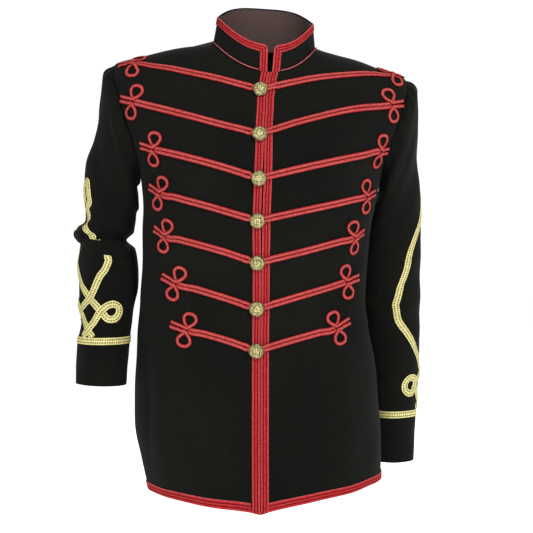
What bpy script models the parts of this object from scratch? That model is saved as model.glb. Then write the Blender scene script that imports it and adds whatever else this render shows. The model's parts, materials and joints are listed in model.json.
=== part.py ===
"""Military tunic in the hussar manner, filled out as when worn.

Black cloth in four body panels, two-piece sleeves and a stand collar, with flat red braid on the
edges, seven rows of doubled cord frogs, domed buttons and a lace knot on each sleeve.

Metres, +Z up. The origin is the middle of the neck opening, at the height where the shoulder seams
meet the collar. +X is the wearer's left and the front faces -Y.
"""

import math

import bmesh
import bpy
import numpy as np
from mathutils import Matrix, Vector
from mathutils.bvhtree import BVHTree

COLLECTION = "military_tunic"

# Thicknesses and running gaps
CLOTH = 0.0022
LINING = 0.0012
BRAID = 0.0012
LACE = 0.0010
CORD_THICK = 0.0018
SEAM = 0.0003
SLEEVE_SEAM = 0.0012
SEWN_ON = 0.0004
LACE_SEWN_ON = 0.0007
OVER = 0.0003

# The cut of the body
ROUND = 2.25
BACK_FLATTER = 1.7
SHOULDER_POINT = -0.041
ARMPIT = -0.205
ARMHOLE_HALF_ANGLE = math.radians(26)
ARMHOLE_STEPS = 8
BRAID_WIDTH = 0.012
UNDERLAP = (0.012, 0.014)
RIDGE_LEVELS = (0.0, -0.012, -0.0255)
SKIRT_LEVELS = (-0.24, -0.28, -0.32, -0.36, -0.40, -0.444, -0.49, -0.54, -0.59, -0.64, -0.675)
HEM = -0.687
FRONT_COLUMNS = 10
BACK_COLUMNS = 8

# A row for each height of the body. level is the height at the sides, half is half the width, shift
# is how far the row's middle lies to the wearer's left, front and back are the depths, the dips are
# how much lower or higher the middle of the front and back lie, spread is how widely a dip reaches,
# lean is how much each metre to the wearer's left lowers it, and opening and gap place the edges.
BODY_COLUMNS = (
    "level", "half", "shift", "front", "back", "front_dip", "back_dip", "spread", "lean", "opening", "gap",
)
BODY_ROWS = (
    (0.0000, 0.0800, 0.0057, 0.078, 0.072, -0.045, 0.020, 2.25, 0.055, 0.0110, 0.0012),
    (-0.012, 0.1400, 0.0030, 0.083, 0.078, -0.047, 0.018, 2.10, 0.050, 0.0080, 0.0012),
    (-0.0255, 0.1870, 0.0010, 0.088, 0.084, -0.047, 0.014, 1.90, 0.048, 0.0060, 0.0012),
    (-0.041, 0.2280, 0.0000, 0.094, 0.090, -0.045, 0.012, 1.70, 0.047, 0.0040, 0.0012),
    (-0.065, 0.2360, 0.0000, 0.105, 0.100, -0.038, 0.010, 1.60, 0.040, 0.0030, 0.0012),
    (-0.100, 0.2330, 0.0000, 0.118, 0.112, -0.025, 0.006, 1.50, 0.030, 0.0010, 0.0012),
    (-0.150, 0.2140, 0.0000, 0.130, 0.120, -0.010, 0.000, 1.50, 0.015, 0.0000, 0.0014),
    (-0.205, 0.1890, 0.0000, 0.136, 0.119, 0.000, 0.000, 1.40, 0.000, -0.0015, 0.0024),
    (-0.285, 0.1800, -0.0060, 0.128, 0.106, 0.000, 0.000, 1.20, 0.000, -0.0037, 0.0024),
    (-0.345, 0.1775, -0.0095, 0.121, 0.099, 0.000, 0.000, 1.20, 0.000, -0.0037, 0.0012),
    (-0.400, 0.1780, -0.0120, 0.118, 0.101, 0.000, 0.000, 1.10, 0.000, -0.0040, 0.0012),
    (-0.444, 0.1830, -0.0115, 0.118, 0.108, 0.000, 0.000, 1.00, 0.000, -0.0045, 0.0012),
    (-0.490, 0.1885, -0.0080, 0.121, 0.120, 0.000, 0.000, 0.90, 0.000, -0.0050, 0.0012),
    (-0.540, 0.1925, -0.0065, 0.126, 0.131, -0.003, 0.000, 0.70, 0.000, -0.0052, 0.0012),
    (-0.590, 0.1940, -0.0045, 0.130, 0.139, -0.008, 0.000, 0.55, -0.005, -0.0055, 0.0012),
    (-0.640, 0.1900, 0.0015, 0.133, 0.143, -0.018, 0.000, 0.62, -0.018, -0.0055, 0.0012),
    (-0.687, 0.1830, 0.0085, 0.135, 0.146, -0.028, 0.000, 0.72, -0.030, -0.0055, 0.0012),
)

# Soft folds of the skirt: where each starts and ends, as angle from the centre front (positive to
# the wearer's left) and level, how wide it is as an angle, and how far it stands out.
FOLD_COLUMNS = ("start_angle", "start_level", "end_angle", "end_level", "width_angle", "height")
FOLD_ROWS = (
    (-58.0, -0.46, -26.0, -0.687, 11.0, 0.0035),
    (-30.0, -0.50, -10.0, -0.687, 9.0, -0.0025),
    (46.0, -0.47, 40.0, -0.687, 11.0, 0.0035),
    (-84.0, -0.50, -80.0, -0.687, 9.0, 0.0040),
    (118.0, -0.44, 112.0, -0.687, 10.0, 0.0045),
    (-122.0, -0.44, -116.0, -0.687, 10.0, 0.0045),
    (152.0, -0.46, 150.0, -0.687, 10.0, 0.0040),
    (-156.0, -0.46, -152.0, -0.687, 10.0, 0.0040),
)
FOLD_ONSET = 1.3

# Sections across each sleeve, from just outside the armhole to the cuff. out, aft and up place the
# middle, across and fore are the half sizes away from the body and forwards, and pitch turns the
# section from upright, as the armhole is, to level.
SLEEVE_COLUMNS = ("out", "aft", "up", "across", "fore", "pitch")
SLEEVE_RIGHT = (
    (0.2172, 0.001, -0.1280, 0.0905, 0.060, 17.4),
    (0.2205, 0.002, -0.1380, 0.0860, 0.062, 18.0),
    (0.2220, 0.006, -0.1725, 0.0740, 0.060, 24.0),
    (0.2273, 0.012, -0.2010, 0.0642, 0.056, 33.0),
    (0.2355, 0.018, -0.2235, 0.0555, 0.052, 46.0),
    (0.2385, 0.024, -0.2425, 0.0490, 0.050, 56.0),
    (0.2375, 0.030, -0.2690, 0.0410, 0.048, 70.0),
    (0.2468, 0.036, -0.2895, 0.0453, 0.051, 85.0),
    (0.2540, 0.036, -0.3010, 0.0405, 0.046, 84.0),
    (0.2422, 0.032, -0.3145, 0.0436, 0.048, 83.0),
    (0.2415, 0.022, -0.3535, 0.0488, 0.048, 80.0),
    (0.2425, 0.010, -0.3975, 0.0446, 0.044, 87.0),
    (0.2437, 0.000, -0.4300, 0.0402, 0.042, 90.0),
    (0.2480, -0.008, -0.4700, 0.0412, 0.041, 90.0),
    (0.2505, -0.014, -0.5040, 0.0405, 0.040, 90.0),
    (0.2515, -0.018, -0.5280, 0.0397, 0.039, 88.0),
)
SLEEVE_LEFT = (
    (0.2165, 0.002, -0.1385, 0.0835, 0.060, 18.0),
    (0.2181, 0.004, -0.1520, 0.0877, 0.062, 20.0),
    (0.2170, 0.012, -0.1873, 0.0756, 0.060, 27.0),
    (0.2157, 0.022, -0.2275, 0.0653, 0.056, 36.0),
    (0.2160, 0.032, -0.2660, 0.0568, 0.052, 51.0),
    (0.2153, 0.042, -0.3115, 0.0533, 0.050, 66.0),
    (0.2148, 0.050, -0.3575, 0.0508, 0.048, 81.0),
    (0.2155, 0.056, -0.4110, 0.0495, 0.046, 89.0),
    (0.2170, 0.060, -0.4625, 0.0470, 0.0435, 87.0),
    (0.2180, 0.064, -0.5125, 0.0440, 0.042, 87.0),
    (0.2188, 0.068, -0.5600, 0.0408, 0.040, 90.0),
    (0.2190, 0.071, -0.6000, 0.0385, 0.039, 90.0),
    (0.2190, 0.073, -0.6400, 0.0375, 0.038, 90.0),
    (0.2190, 0.075, -0.6690, 0.0365, 0.037, 90.0),
)
SLEEVE_SIDES = 16
TOP_SLEEVE_SIDES = 10

# Collar
COLLAR_COLUMNS = 20
COLLAR_HEIGHTS = (0.042, 0.040, 0.046)
COLLAR_TOP_NARROWER = 0.0055
COLLAR_BOXY = 0.5
COLLAR_TOP_SHIFT = 0.0020
COLLAR_EDGES = ((0.0072, 0.0148), (0.0085, 0.0185))
COLLAR_BRAID = 0.0115
PIPING = 0.0014
BRAIDS_APART = 0.01
CORDS_REACH = 0.9985
LINING_INSIDE = 0.002
LINING_SHARES = (-0.5, 0.05, 0.5, 0.95)
FACING_FROM = 0.3

# Frogs: for each row, how far down its button is, and where the knot's crossing and the tails' end
# lie on the wearer's right and left, as distances out from the middle and down.
FROG_COLUMNS = (
    "button_down", "right_out", "right_down", "right_tail_out", "right_tail_down",
    "left_out", "left_down", "left_tail_out", "left_tail_down", "right_bow", "left_bow",
)
FROG_ROWS = (
    (0.073, 0.196, 0.031, 0.222, 0.034, 0.203, 0.046, 0.228, 0.050, 0.004, 0.008),
    (0.141, 0.196, 0.090, 0.222, 0.083, 0.199, 0.094, 0.229, 0.090, 0.000, 0.007),
    (0.206, 0.165, 0.162, 0.192, 0.154, 0.181, 0.165, 0.204, 0.162, 0.002, 0.001),
    (0.269, 0.155, 0.229, 0.178, 0.214, 0.158, 0.234, 0.172, 0.229, 0.001, 0.000),
    (0.333, 0.148, 0.294, 0.165, 0.284, 0.139, 0.297, 0.151, 0.292, 0.003, 0.000),
    (0.403, 0.131, 0.366, 0.156, 0.354, 0.129, 0.365, 0.146, 0.360, 0.002, 0.001),
    (0.467, 0.115, 0.436, 0.148, 0.425, 0.112, 0.435, 0.130, 0.427, 0.003, 0.002),
)
CORD_WIDTH = 0.0046
LANE = 0.0027
LANE_POINTS = 8
KNOT_HIGH = 0.0220
KNOT_WIDE = 0.0128
KNOT_POINTS = 9
KNOT_FOOT = 0.0034
KNOT_ROOM = 0.017
LANE_CROWDING = 1.3
TAIL = 0.029
SHORTEST_TAIL = 0.019
TAIL_FROM_ARMHOLE = 0.02
SHANK_LOOP = 0.0058
SHANK_LOOP_TURNS = (150, 100, 50)
BUTTON_FROM_OPENING = 0.0065

# Sleeve lace, laid out flat: the height up from the cuff's edge and the distance from the middle
LACE_WIDTH = 0.011
BAND_UP = 0.070
LOWER_CROSSING = 0.087
UPPER_CROSSING = 0.136
EYE_UP = 0.117
EYE_RADIUS = 0.0125
EYE_TURNS = (250, 290, 330, 370, 410, 450, 490)
OWN_CROSSING_OUT = 0.023
HAIRPIN = 0.0062
HAIRPIN_TURNS = (90, 55, 20)
STRAND_SHARES = (0.93, 0.84, 0.74, 0.64, 0.54, 0.45, 0.38, 0.34, 0.29, 0.22, 0.15, 0.08)
LACE_SPACING = 0.010
LACE_ABOVE_BAND = 0.0006

# How far a strand lies from the knot's middle, over the share of the way from crossing to apex
STRAND_COLUMNS = ("share", "aside")
STRAND_ROWS = (
    (0.00, 0.0000),
    (0.10, 0.0215),
    (0.30, 0.0660),
    (0.37, 0.0690),
    (0.55, 0.0515),
    (0.77, 0.0300),
    (0.90, 0.0165),
    (1.00, 0.0060),
)

# Each knot: its apex up from the cuff, how much higher its lower part lies, how wide it is drawn,
# how far out its eyes lie and, over the height up, the angle round the sleeve at which its middle lies.
MIDDLE_COLUMNS = ("up", "turn")
SLEEVE_KNOTS = {
    "right": {
        "apex": 0.310,
        "raised": 0.0,
        "wide": 0.56,
        "eye_out": 0.038,
        "middle": ((0.0, 51.0), (0.203, 51.0), (0.247, 19.0), (0.263, 13.0), (0.289, 30.0), (0.310, 41.0)),
    },
    "left": {
        "apex": 0.465,
        "raised": 0.010,
        "wide": 0.97,
        "eye_out": 0.033,
        "middle": ((0.0, 5.0), (0.38, 5.0), (0.44, -10.0), (0.50, -12.0)),
    },
}

# A button's turned profile, as radius and height above the cloth
BUTTON_PROFILE_MM = (
    (0.0, 10.3),
    (4.6, 9.7),
    (8.4, 8.0),
    (10.9, 5.8),
    (11.5, 5.0),
    (10.6, 4.5),
    (2.4, 4.5),
    (2.4, 1.95),
    (0.0, 1.95),
)
BUTTON_STEPS = 12

SIDES = {"right": -1, "left": 1}
STEP = 1e-4
LOOK_ABOVE = 0.006
LAYING_ROUNDS = 3
SEARCH_ROUNDS = 12
SEARCH_PACE = 0.8
WALK_STEP = 0.006


def slopes(x, y):
    """Slopes at the rows of a curve that rises and falls only where the rows themselves do."""
    rise = np.diff(y, axis=0) / np.diff(x)[:, None]
    total = np.where(rise[:-1] + rise[1:] == 0, 1, rise[:-1] + rise[1:])
    inner = np.where(rise[:-1] * rise[1:] > 0, 2 * rise[:-1] * rise[1:] / total, 0)
    return np.vstack([rise[:1], inner, rise[-1:]])


class Table:
    """Rows of named columns, read at any value of the first column."""

    def __init__(self, names, rows):
        ordered = np.array(sorted(rows), float)
        self.names = names[1:]
        self.keys = ordered[:, 0]
        self.values = ordered[:, 1:]
        self.slopes = slopes(self.keys, self.values)

    def at(self, key):
        key = min(max(key, self.keys[0]), self.keys[-1])
        i = min(max(int(np.searchsorted(self.keys, key)) - 1, 0), len(self.keys) - 2)
        span = self.keys[i + 1] - self.keys[i]
        t = (key - self.keys[i]) / span
        low = self.values[i] * (1 + 2 * t) * (1 - t) ** 2 + self.slopes[i] * span * t * (1 - t) ** 2
        high = self.values[i + 1] * t * t * (3 - 2 * t) + self.slopes[i + 1] * span * t * t * (t - 1)
        return dict(zip(self.names, low + high))


BODY = Table(BODY_COLUMNS, BODY_ROWS)
FOLDS = [dict(zip(FOLD_COLUMNS, row)) for row in FOLD_ROWS]
STRAND = Table(STRAND_COLUMNS, STRAND_ROWS)


def fold_height(angle, level):
    """How far the skirt's folds push the cloth out at a point."""
    total = 0.0
    for fold in FOLDS:
        down = (fold["start_level"] - level) / (fold["start_level"] - fold["end_level"])
        if down <= 0:
            continue
        middle = math.radians(fold["start_angle"] + (fold["end_angle"] - fold["start_angle"]) * down)
        away = math.atan2(math.sin(angle - middle), math.cos(angle - middle))
        away /= math.radians(fold["width_angle"])
        total += fold["height"] * min(down, 1.0) ** FOLD_ONSET * math.exp(-away * away)
    return total


def body_point(angle, level):
    """Point of the outer face. The angle is 0 at the centre front and 90 degrees at the left side."""
    row = BODY.at(level)
    side, ahead = math.sin(angle), math.cos(angle)
    reach = (abs(side) ** ROUND + abs(ahead) ** ROUND) ** (-1 / ROUND)
    across = reach * side
    if ahead > 0:
        depth, dip, spread = row["front"], row["front_dip"], row["spread"]
        middle = (row["opening"] - row["shift"]) / row["half"]
    else:
        depth, dip, spread = row["back"], row["back_dip"], row["spread"] * BACK_FLATTER
        middle = 0.0
    off_middle = abs(across - middle) / (1 - math.copysign(middle, across - middle))
    swell = fold_height(angle, level)
    x = row["half"] * across
    z = level + dip * (1 - min(off_middle, 1.0) ** spread) - row["lean"] * x
    return np.array([row["shift"] + x + swell * side, -depth * reach * ahead - swell * ahead, z])


def body_tangents(angle, level):
    low, high = max(level - STEP, HEM), min(level + STEP, 0.0)
    round_it = (body_point(angle + STEP, level) - body_point(angle - STEP, level)) / (2 * STEP)
    up_it = (body_point(angle, high) - body_point(angle, low)) / (high - low)
    return round_it, up_it


def body_normal(angle, level):
    normal = np.cross(*body_tangents(angle, level))
    return normal / np.linalg.norm(normal)


def on_body(angle, level, out=0.0):
    return body_point(angle, level) + out * body_normal(angle, level)


def laid_on(angle, level, out=0.0):
    """Point off the body's cloth where that cloth is straight between two of the panels' levels."""
    levels = PANEL_LEVELS
    i = min(max(sum(1 for other in levels if other > level), 1), len(levels) - 1)
    share = (levels[i - 1] - level) / (levels[i - 1] - levels[i])
    return on_body(angle, levels[i - 1], out) * (1 - share) + on_body(angle, levels[i], out) * share


def angle_of(x, level):
    """Angle at which a level of the front has a given x."""
    row = BODY.at(level)
    across = max(min((x - row["shift"]) / row["half"], 0.999), -0.999)
    power = abs(across) ** ROUND
    return math.copysign(math.atan((power / (1 - power)) ** (1 / ROUND)), across)


def body_at(x, z):
    """Angle and level of the point of the front that lies at (x, z) from straight ahead."""
    level = z
    for _ in range(SEARCH_ROUNDS):
        angle = angle_of(x, level)
        level = min(max(level + SEARCH_PACE * (z - body_point(angle, level)[2]), HEM), -STEP)
    return angle_of(x, level), level


def walk(angle, level, heading, distance):
    """Angle and level reached by going straight over the cloth from a point."""
    pieces = max(1, math.ceil(distance / WALK_STEP))
    heading = np.array(heading, float)
    for _ in range(pieces):
        tangents = np.array(body_tangents(angle, level))
        normal = np.cross(*tangents)
        normal /= np.linalg.norm(normal)
        heading -= normal * (heading @ normal)
        heading /= np.linalg.norm(heading)
        turn = np.linalg.lstsq(tangents.T, heading * distance / pieces, rcond=None)[0]
        angle += turn[0]
        level = min(max(level + turn[1], HEM), 0.0)
    return angle, level


def armhole_levels():
    middle = (SHOULDER_POINT + ARMPIT) / 2
    half = (SHOULDER_POINT - ARMPIT) / 2
    turns = [math.pi * i / ARMHOLE_STEPS for i in range(ARMHOLE_STEPS + 1)]
    return [middle + half * math.cos(turn) for turn in turns]


def armhole_inset(level):
    """How far the armhole cuts into a level, as an angle from the side."""
    middle = (SHOULDER_POINT + ARMPIT) / 2
    half = (SHOULDER_POINT - ARMPIT) / 2
    down = min(max((level - middle) / half, -1.0), 1.0)
    return ARMHOLE_HALF_ANGLE * math.sqrt(1 - down * down)


PANEL_LEVELS = tuple(RIDGE_LEVELS) + tuple(armhole_levels()) + SKIRT_LEVELS + (HEM,)


def seam_angle(target, level, inwards):
    """The angle at a seam, held back by half the gap between two panels."""
    round_it = body_tangents(target, level)[0]
    return target + inwards * SEAM / 2 / np.linalg.norm(round_it)


def object_from(name, mesh_builder, material):
    """Makes an object whose mesh is closed and faces outwards."""
    mesh = bpy.data.meshes.new(name)
    bm = bmesh.new()
    mesh_builder(bm)
    bmesh.ops.recalc_face_normals(bm, faces=bm.faces)
    bm.to_mesh(mesh)
    bm.free()
    mesh.materials.append(material)
    obj = bpy.data.objects.new(name, mesh)
    bpy.data.collections[COLLECTION].objects.link(obj)
    return obj


def wall(name, outer, inner, material, closed=False, keep=None):
    """A sheet of cloth between an outer and an inner grid of points, with closed edges.

    A closed wall goes all round, and keep says which cells of the grid the sheet covers.
    """
    outer, inner = np.asarray(outer), np.asarray(inner)
    rows, columns = outer.shape[:2]
    last = columns if closed else columns - 1
    cells = [(i, j) for i in range(rows - 1) for j in range(last) if keep is None or keep(i, j)]
    loops = []
    for i, j in cells:
        k = (j + 1) % columns
        loops.append(((i, j), (i, k), (i + 1, k), (i + 1, j)))
    sides = {}
    for loop in loops:
        for start, end in zip(loop, loop[1:] + loop[:1]):
            sides.setdefault(frozenset((start, end)), []).append((start, end))
    rim = [pairs[0] for pairs in sides.values() if len(pairs) == 1]
    used = sorted({corner for loop in loops for corner in loop})

    def build(bm):
        front, back = ({at: bm.verts.new(grid[at]) for at in used} for grid in (outer, inner))
        for loop in loops:
            bm.faces.new([front[at] for at in loop])
            bm.faces.new([back[at] for at in loop])
        for start, end in rim:
            bm.faces.new((front[start], front[end], back[end], back[start]))

    return object_from(name, build, material)


def strip(name, points, ups, width, thick, material):
    """A flat cord or lace along points, which lie under its middle, with ups pointing off the cloth."""
    points, ups = np.asarray(points), np.asarray(ups)
    along = np.gradient(points, axis=0)
    along /= np.linalg.norm(along, axis=1)[:, None]
    aside = np.cross(along, ups)
    aside *= (width / 2) / np.linalg.norm(aside, axis=1)[:, None]
    rings = [points - aside, points + aside, points + aside + ups * thick, points - aside + ups * thick]

    def build(bm):
        corners = [[bm.verts.new(p) for p in line] for line in rings]
        count = len(points)
        for i in range(count - 1):
            for j in range(4):
                k = (j + 1) % 4
                bm.faces.new((corners[j][i], corners[k][i], corners[k][i + 1], corners[j][i + 1]))
        for i in (0, count - 1):
            bm.faces.new([line[i] for line in corners])

    return object_from(name, build, material)


def tree_of(*names):
    """The faces of some finished objects, to be found by a ray."""
    corners, faces = [], []
    for name in names:
        mesh = bpy.data.meshes[name]
        mesh.calc_loop_triangles()
        first = len(corners)
        corners += [vertex.co.copy() for vertex in mesh.vertices]
        faces += [[first + corner for corner in face.vertices] for face in mesh.loop_triangles]
    return BVHTree.FromPolygons(corners, faces)


def standing(tree, point, up):
    """How far the faces stand above a point, which is negative where they lie below it."""
    place, _, _, distance = tree.ray_cast(Vector(point + up * LOOK_ABOVE), Vector(-up), 2 * LOOK_ABOVE)
    return LOOK_ABOVE - distance if place else -LOOK_ABOVE


def laid_over(tree, points, ups, width, gap):
    """The points of a strip, each moved along its up until the strip lies just clear of the faces."""
    points, ups = np.array(points), np.array(ups)
    reach = width / 2
    for step in range(LAYING_ROUNDS):
        along = np.gradient(points, axis=0)
        aside = np.cross(along, ups)
        aside *= reach / np.linalg.norm(aside, axis=1)[:, None]
        heights = np.full(len(points), -LOOK_ABOVE)
        for i in range(len(points) - 1):
            for share in (0.0, 0.25, 0.5, 0.75, 1.0):
                middle = points[i] * (1 - share) + points[i + 1] * share
                up = ups[i] * (1 - share) + ups[i + 1] * share
                up /= np.linalg.norm(up)
                across = aside[i] * (1 - share) + aside[i + 1] * share
                height = max(standing(tree, middle + across * part, up) for part in (-1, -0.5, 0, 0.5, 1))
                if share < 1.0:
                    heights[i] = max(heights[i], height)
                if share > 0.0:
                    heights[i + 1] = max(heights[i + 1], height)
        needed = heights + gap
        if step:
            needed = np.maximum(needed, 0)
        points = points + ups * np.clip(needed, -LOOK_ABOVE / 2, LOOK_ABOVE)[:, None]
    return points


def make_material(name, colour, roughness, metallic=0.0):
    material = bpy.data.materials.new(name)
    material.use_nodes = True
    shader = material.node_tree.nodes["Principled BSDF"]
    shader.inputs["Base Color"].default_value = (*colour, 1.0)
    shader.inputs["Roughness"].default_value = roughness
    shader.inputs["Metallic"].default_value = metallic
    material.diffuse_color = (*colour, 1.0)
    return material


def panel_angles(level, sign, back):
    """The angles of a body panel's columns at one level, from its middle edge to its side edge."""
    inset = armhole_inset(level) if ARMPIT <= level <= SHOULDER_POINT else 0.0
    if back:
        middle = seam_angle(math.pi, level, -1)
        side = seam_angle(math.pi / 2 + inset, level, 1)
        angles = np.linspace(middle, side, BACK_COLUMNS)
        return sign * angles
    row = BODY.at(level)
    edge = row["opening"] + sign * row["gap"] / 2
    first = sign * angle_of(edge, level)
    second = sign * angle_of(edge + sign * BRAID_WIDTH, level)
    side = seam_angle(math.pi / 2 - inset, level, -1)
    share = np.linspace(0, 1, FRONT_COLUMNS - 1)
    return sign * np.concatenate([[first], second + (side - second) * share])


def body_grid(side, back, out=0.0, rows=None, columns=None):
    """Points of one body panel, moved out from the cloth's outer face."""
    sign = SIDES[side]
    grid = []
    for level in PANEL_LEVELS[rows] if rows else PANEL_LEVELS:
        angles = panel_angles(level, sign, back)
        picked = angles[columns] if columns else angles
        grid.append([on_body(angle, level, out) for angle in picked])
    return np.array(grid)


def make_body(cloth):
    for side in SIDES:
        wall(f"front_{side}", body_grid(side, False), body_grid(side, False, -CLOTH), cloth)
        wall(f"back_{side}", body_grid(side, True), body_grid(side, True, -CLOTH), cloth)


def make_underlap(cloth):
    """The strip behind the opening, fixed inside the wearer's left front."""
    grids = []
    for out in (-CLOTH - SEWN_ON, -CLOTH - SEWN_ON - LINING):
        grid = []
        for level in PANEL_LEVELS[1:-1]:
            opening = BODY.at(level)["opening"]
            edges = (opening - UNDERLAP[0], opening, opening + UNDERLAP[1])
            grid.append([on_body(angle_of(x, level), level, out) for x in edges])
        grids.append(np.array(grid))
    wall("front_underlap", grids[0], grids[1], cloth)


def make_edge_braids(red):
    """Flat braid down both front edges and round the hem, on the panels' own points."""
    low, high = SEWN_ON, SEWN_ON + BRAID
    for side, sign in SIDES.items():
        first_two = slice(0, 2)
        wall(
            f"front_braid_{side}",
            body_grid(side, False, high, columns=first_two),
            body_grid(side, False, low, columns=first_two),
            red,
        )
        last_rows = slice(-2, None)
        grids = [body_grid(side, False, out, rows=last_rows)[:, 1:] for out in (high, low)]
        for grid in grids:
            grid[:, 0] += (grid[:, 1] - grid[:, 0]) * (SEAM / BRAID_WIDTH)
        wall(f"hem_braid_front_{side}", grids[0], grids[1], red)
        wall(
            f"hem_braid_back_{side}",
            body_grid(side, True, high, rows=last_rows),
            body_grid(side, True, low, rows=last_rows),
            red,
        )


def collar_point(angle, share, out=0.0):
    """Point of the collar's outer face, share of the way up it."""
    foot = on_body(angle, 0.0)
    row = BODY.at(0.0)
    front, side, back = COLLAR_HEIGHTS
    ahead = math.cos(angle)
    height = side + (front - side) * max(ahead, 0) ** 2 + (back - side) * max(-ahead, 0) ** COLLAR_BOXY
    half = row["half"] - COLLAR_TOP_NARROWER * share
    inwards = half / row["half"]
    x = (foot[0] - row["shift"]) * inwards + row["shift"] + COLLAR_TOP_SHIFT * share
    point = np.array([x, foot[1] * inwards, foot[2] + SEAM + share * (height - SEAM)])
    away = np.array([math.sin(angle) / row["half"], -ahead / row["front"], 0.0])
    return point + out * away / np.linalg.norm(away)


def collar_angle(x, share):
    """The angle at which the collar's front has a given x."""
    row = BODY.at(0.0)
    half = row["half"] - COLLAR_TOP_NARROWER * share
    across = (x - row["shift"] - COLLAR_TOP_SHIFT * share) / half
    power = abs(across) ** ROUND
    return math.copysign(math.atan((power / (1 - power)) ** (1 / ROUND)), across)


def collar_edge(side, share, inside=0.0):
    """The angle of a front edge of the collar, or of a line that lies inside it."""
    index = 0 if side == "right" else 1
    x = COLLAR_EDGES[0][index] + (COLLAR_EDGES[1][index] - COLLAR_EDGES[0][index]) * share
    return collar_angle(x + SIDES[side] * inside, share)


def collar_grid(out, shares, margin=0.0):
    """Points of the collar from its right front edge, round the back, to its left one."""
    grid = []
    for share in shares:
        start = collar_edge("right", share, margin)
        end = collar_edge("left", share, margin) - 2 * math.pi
        second = collar_edge("right", share, COLLAR_BRAID)
        second_last = collar_edge("left", share, COLLAR_BRAID) - 2 * math.pi
        angles = [start, *np.linspace(second, second_last, COLLAR_COLUMNS - 1), end]
        grid.append([collar_point(angle, share, out) for angle in angles])
    return np.array(grid)


def make_collar(cloth, lining, red):
    braid_foot = 1 - COLLAR_BRAID / COLLAR_HEIGHTS[0]
    shares = (0.0, 0.075, 0.35, braid_foot, 1.0)
    wall("collar", collar_grid(0, shares), collar_grid(-CLOTH, shares), cloth)
    inside = -CLOTH - SEWN_ON
    grids = [collar_grid(out, LINING_SHARES, LINING_INSIDE) for out in (inside, inside - LINING)]
    low, high = COLLAR_COLUMNS * FACING_FROM, COLLAR_COLUMNS * (1 - FACING_FROM)
    wall("collar_lining", *grids, lining, keep=lambda i, j: i > 0 or low <= j < high)
    grids = [collar_grid(out, shares[1:]) for out in (SEWN_ON + BRAID, SEWN_ON)]
    middle = COLLAR_COLUMNS // 2
    for side in SIDES:
        halves = [grid[:, : middle + 1] if side == "right" else grid[:, middle:][:, ::-1] for grid in grids]
        for half in halves:
            half[:, -1] += (half[:, -2] - half[:, -1]) * BRAIDS_APART
        top = len(shares) - 3
        wall(f"collar_braid_{side}", *halves, red, keep=lambda i, j: i == top or j == 0)
        back = math.pi if side == "left" else -math.pi
        make_piping(side, back * CORDS_REACH, red)


def make_piping(side, back, red):
    """The thin cord round the foot of the collar, as a round tube."""
    share = 0.055
    start = collar_edge(side, share, COLLAR_BRAID + 0.0012)
    angles = np.linspace(start, back, COLLAR_COLUMNS // 2 + 4)
    curve = bpy.data.curves.new(f"collar_cord_{side}", "CURVE")
    curve.dimensions = "3D"
    curve.bevel_depth = PIPING
    curve.bevel_resolution = 1
    curve.use_fill_caps = True
    spline = curve.splines.new("POLY")
    spline.points.add(len(angles) - 1)
    for point, angle in zip(spline.points, angles):
        point.co = (*collar_point(angle, share, PIPING + 2 * SEWN_ON), 1.0)
    curve.materials.append(red)
    obj = bpy.data.objects.new(f"collar_cord_{side}", curve)
    bpy.data.collections[COLLECTION].objects.link(obj)


def armhole_ring(sign):
    """The armhole's seam line on the outer face of the body, from the shoulder forwards."""
    middle = (SHOULDER_POINT + ARMPIT) / 2
    half = (SHOULDER_POINT - ARMPIT) / 2
    ring = []
    for i in range(SLEEVE_SIDES):
        turn = 2 * math.pi * i / SLEEVE_SIDES
        level = middle + half * math.cos(turn)
        angle = math.pi / 2 - ARMHOLE_HALF_ANGLE * math.sin(turn)
        ring.append(body_point(sign * angle, level))
    return np.array(ring)


def section_ring(row, sign):
    """One section of a sleeve, started at its outer side and going round by the front."""
    facts = dict(zip(SLEEVE_COLUMNS, row))
    slant = math.radians(facts["pitch"])
    outwards = np.array([math.sin(slant) * sign, 0.0, math.cos(slant)])
    forwards = np.array([0.0, -1.0, 0.0])
    middle = np.array([facts["out"] * sign, facts["aft"], facts["up"]])
    ring = []
    for i in range(SLEEVE_SIDES):
        turn = 2 * math.pi * i / SLEEVE_SIDES
        across = facts["across"] * math.cos(turn) * outwards
        ring.append(middle + across + facts["fore"] * math.sin(turn) * forwards)
    return np.array(ring)


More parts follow.
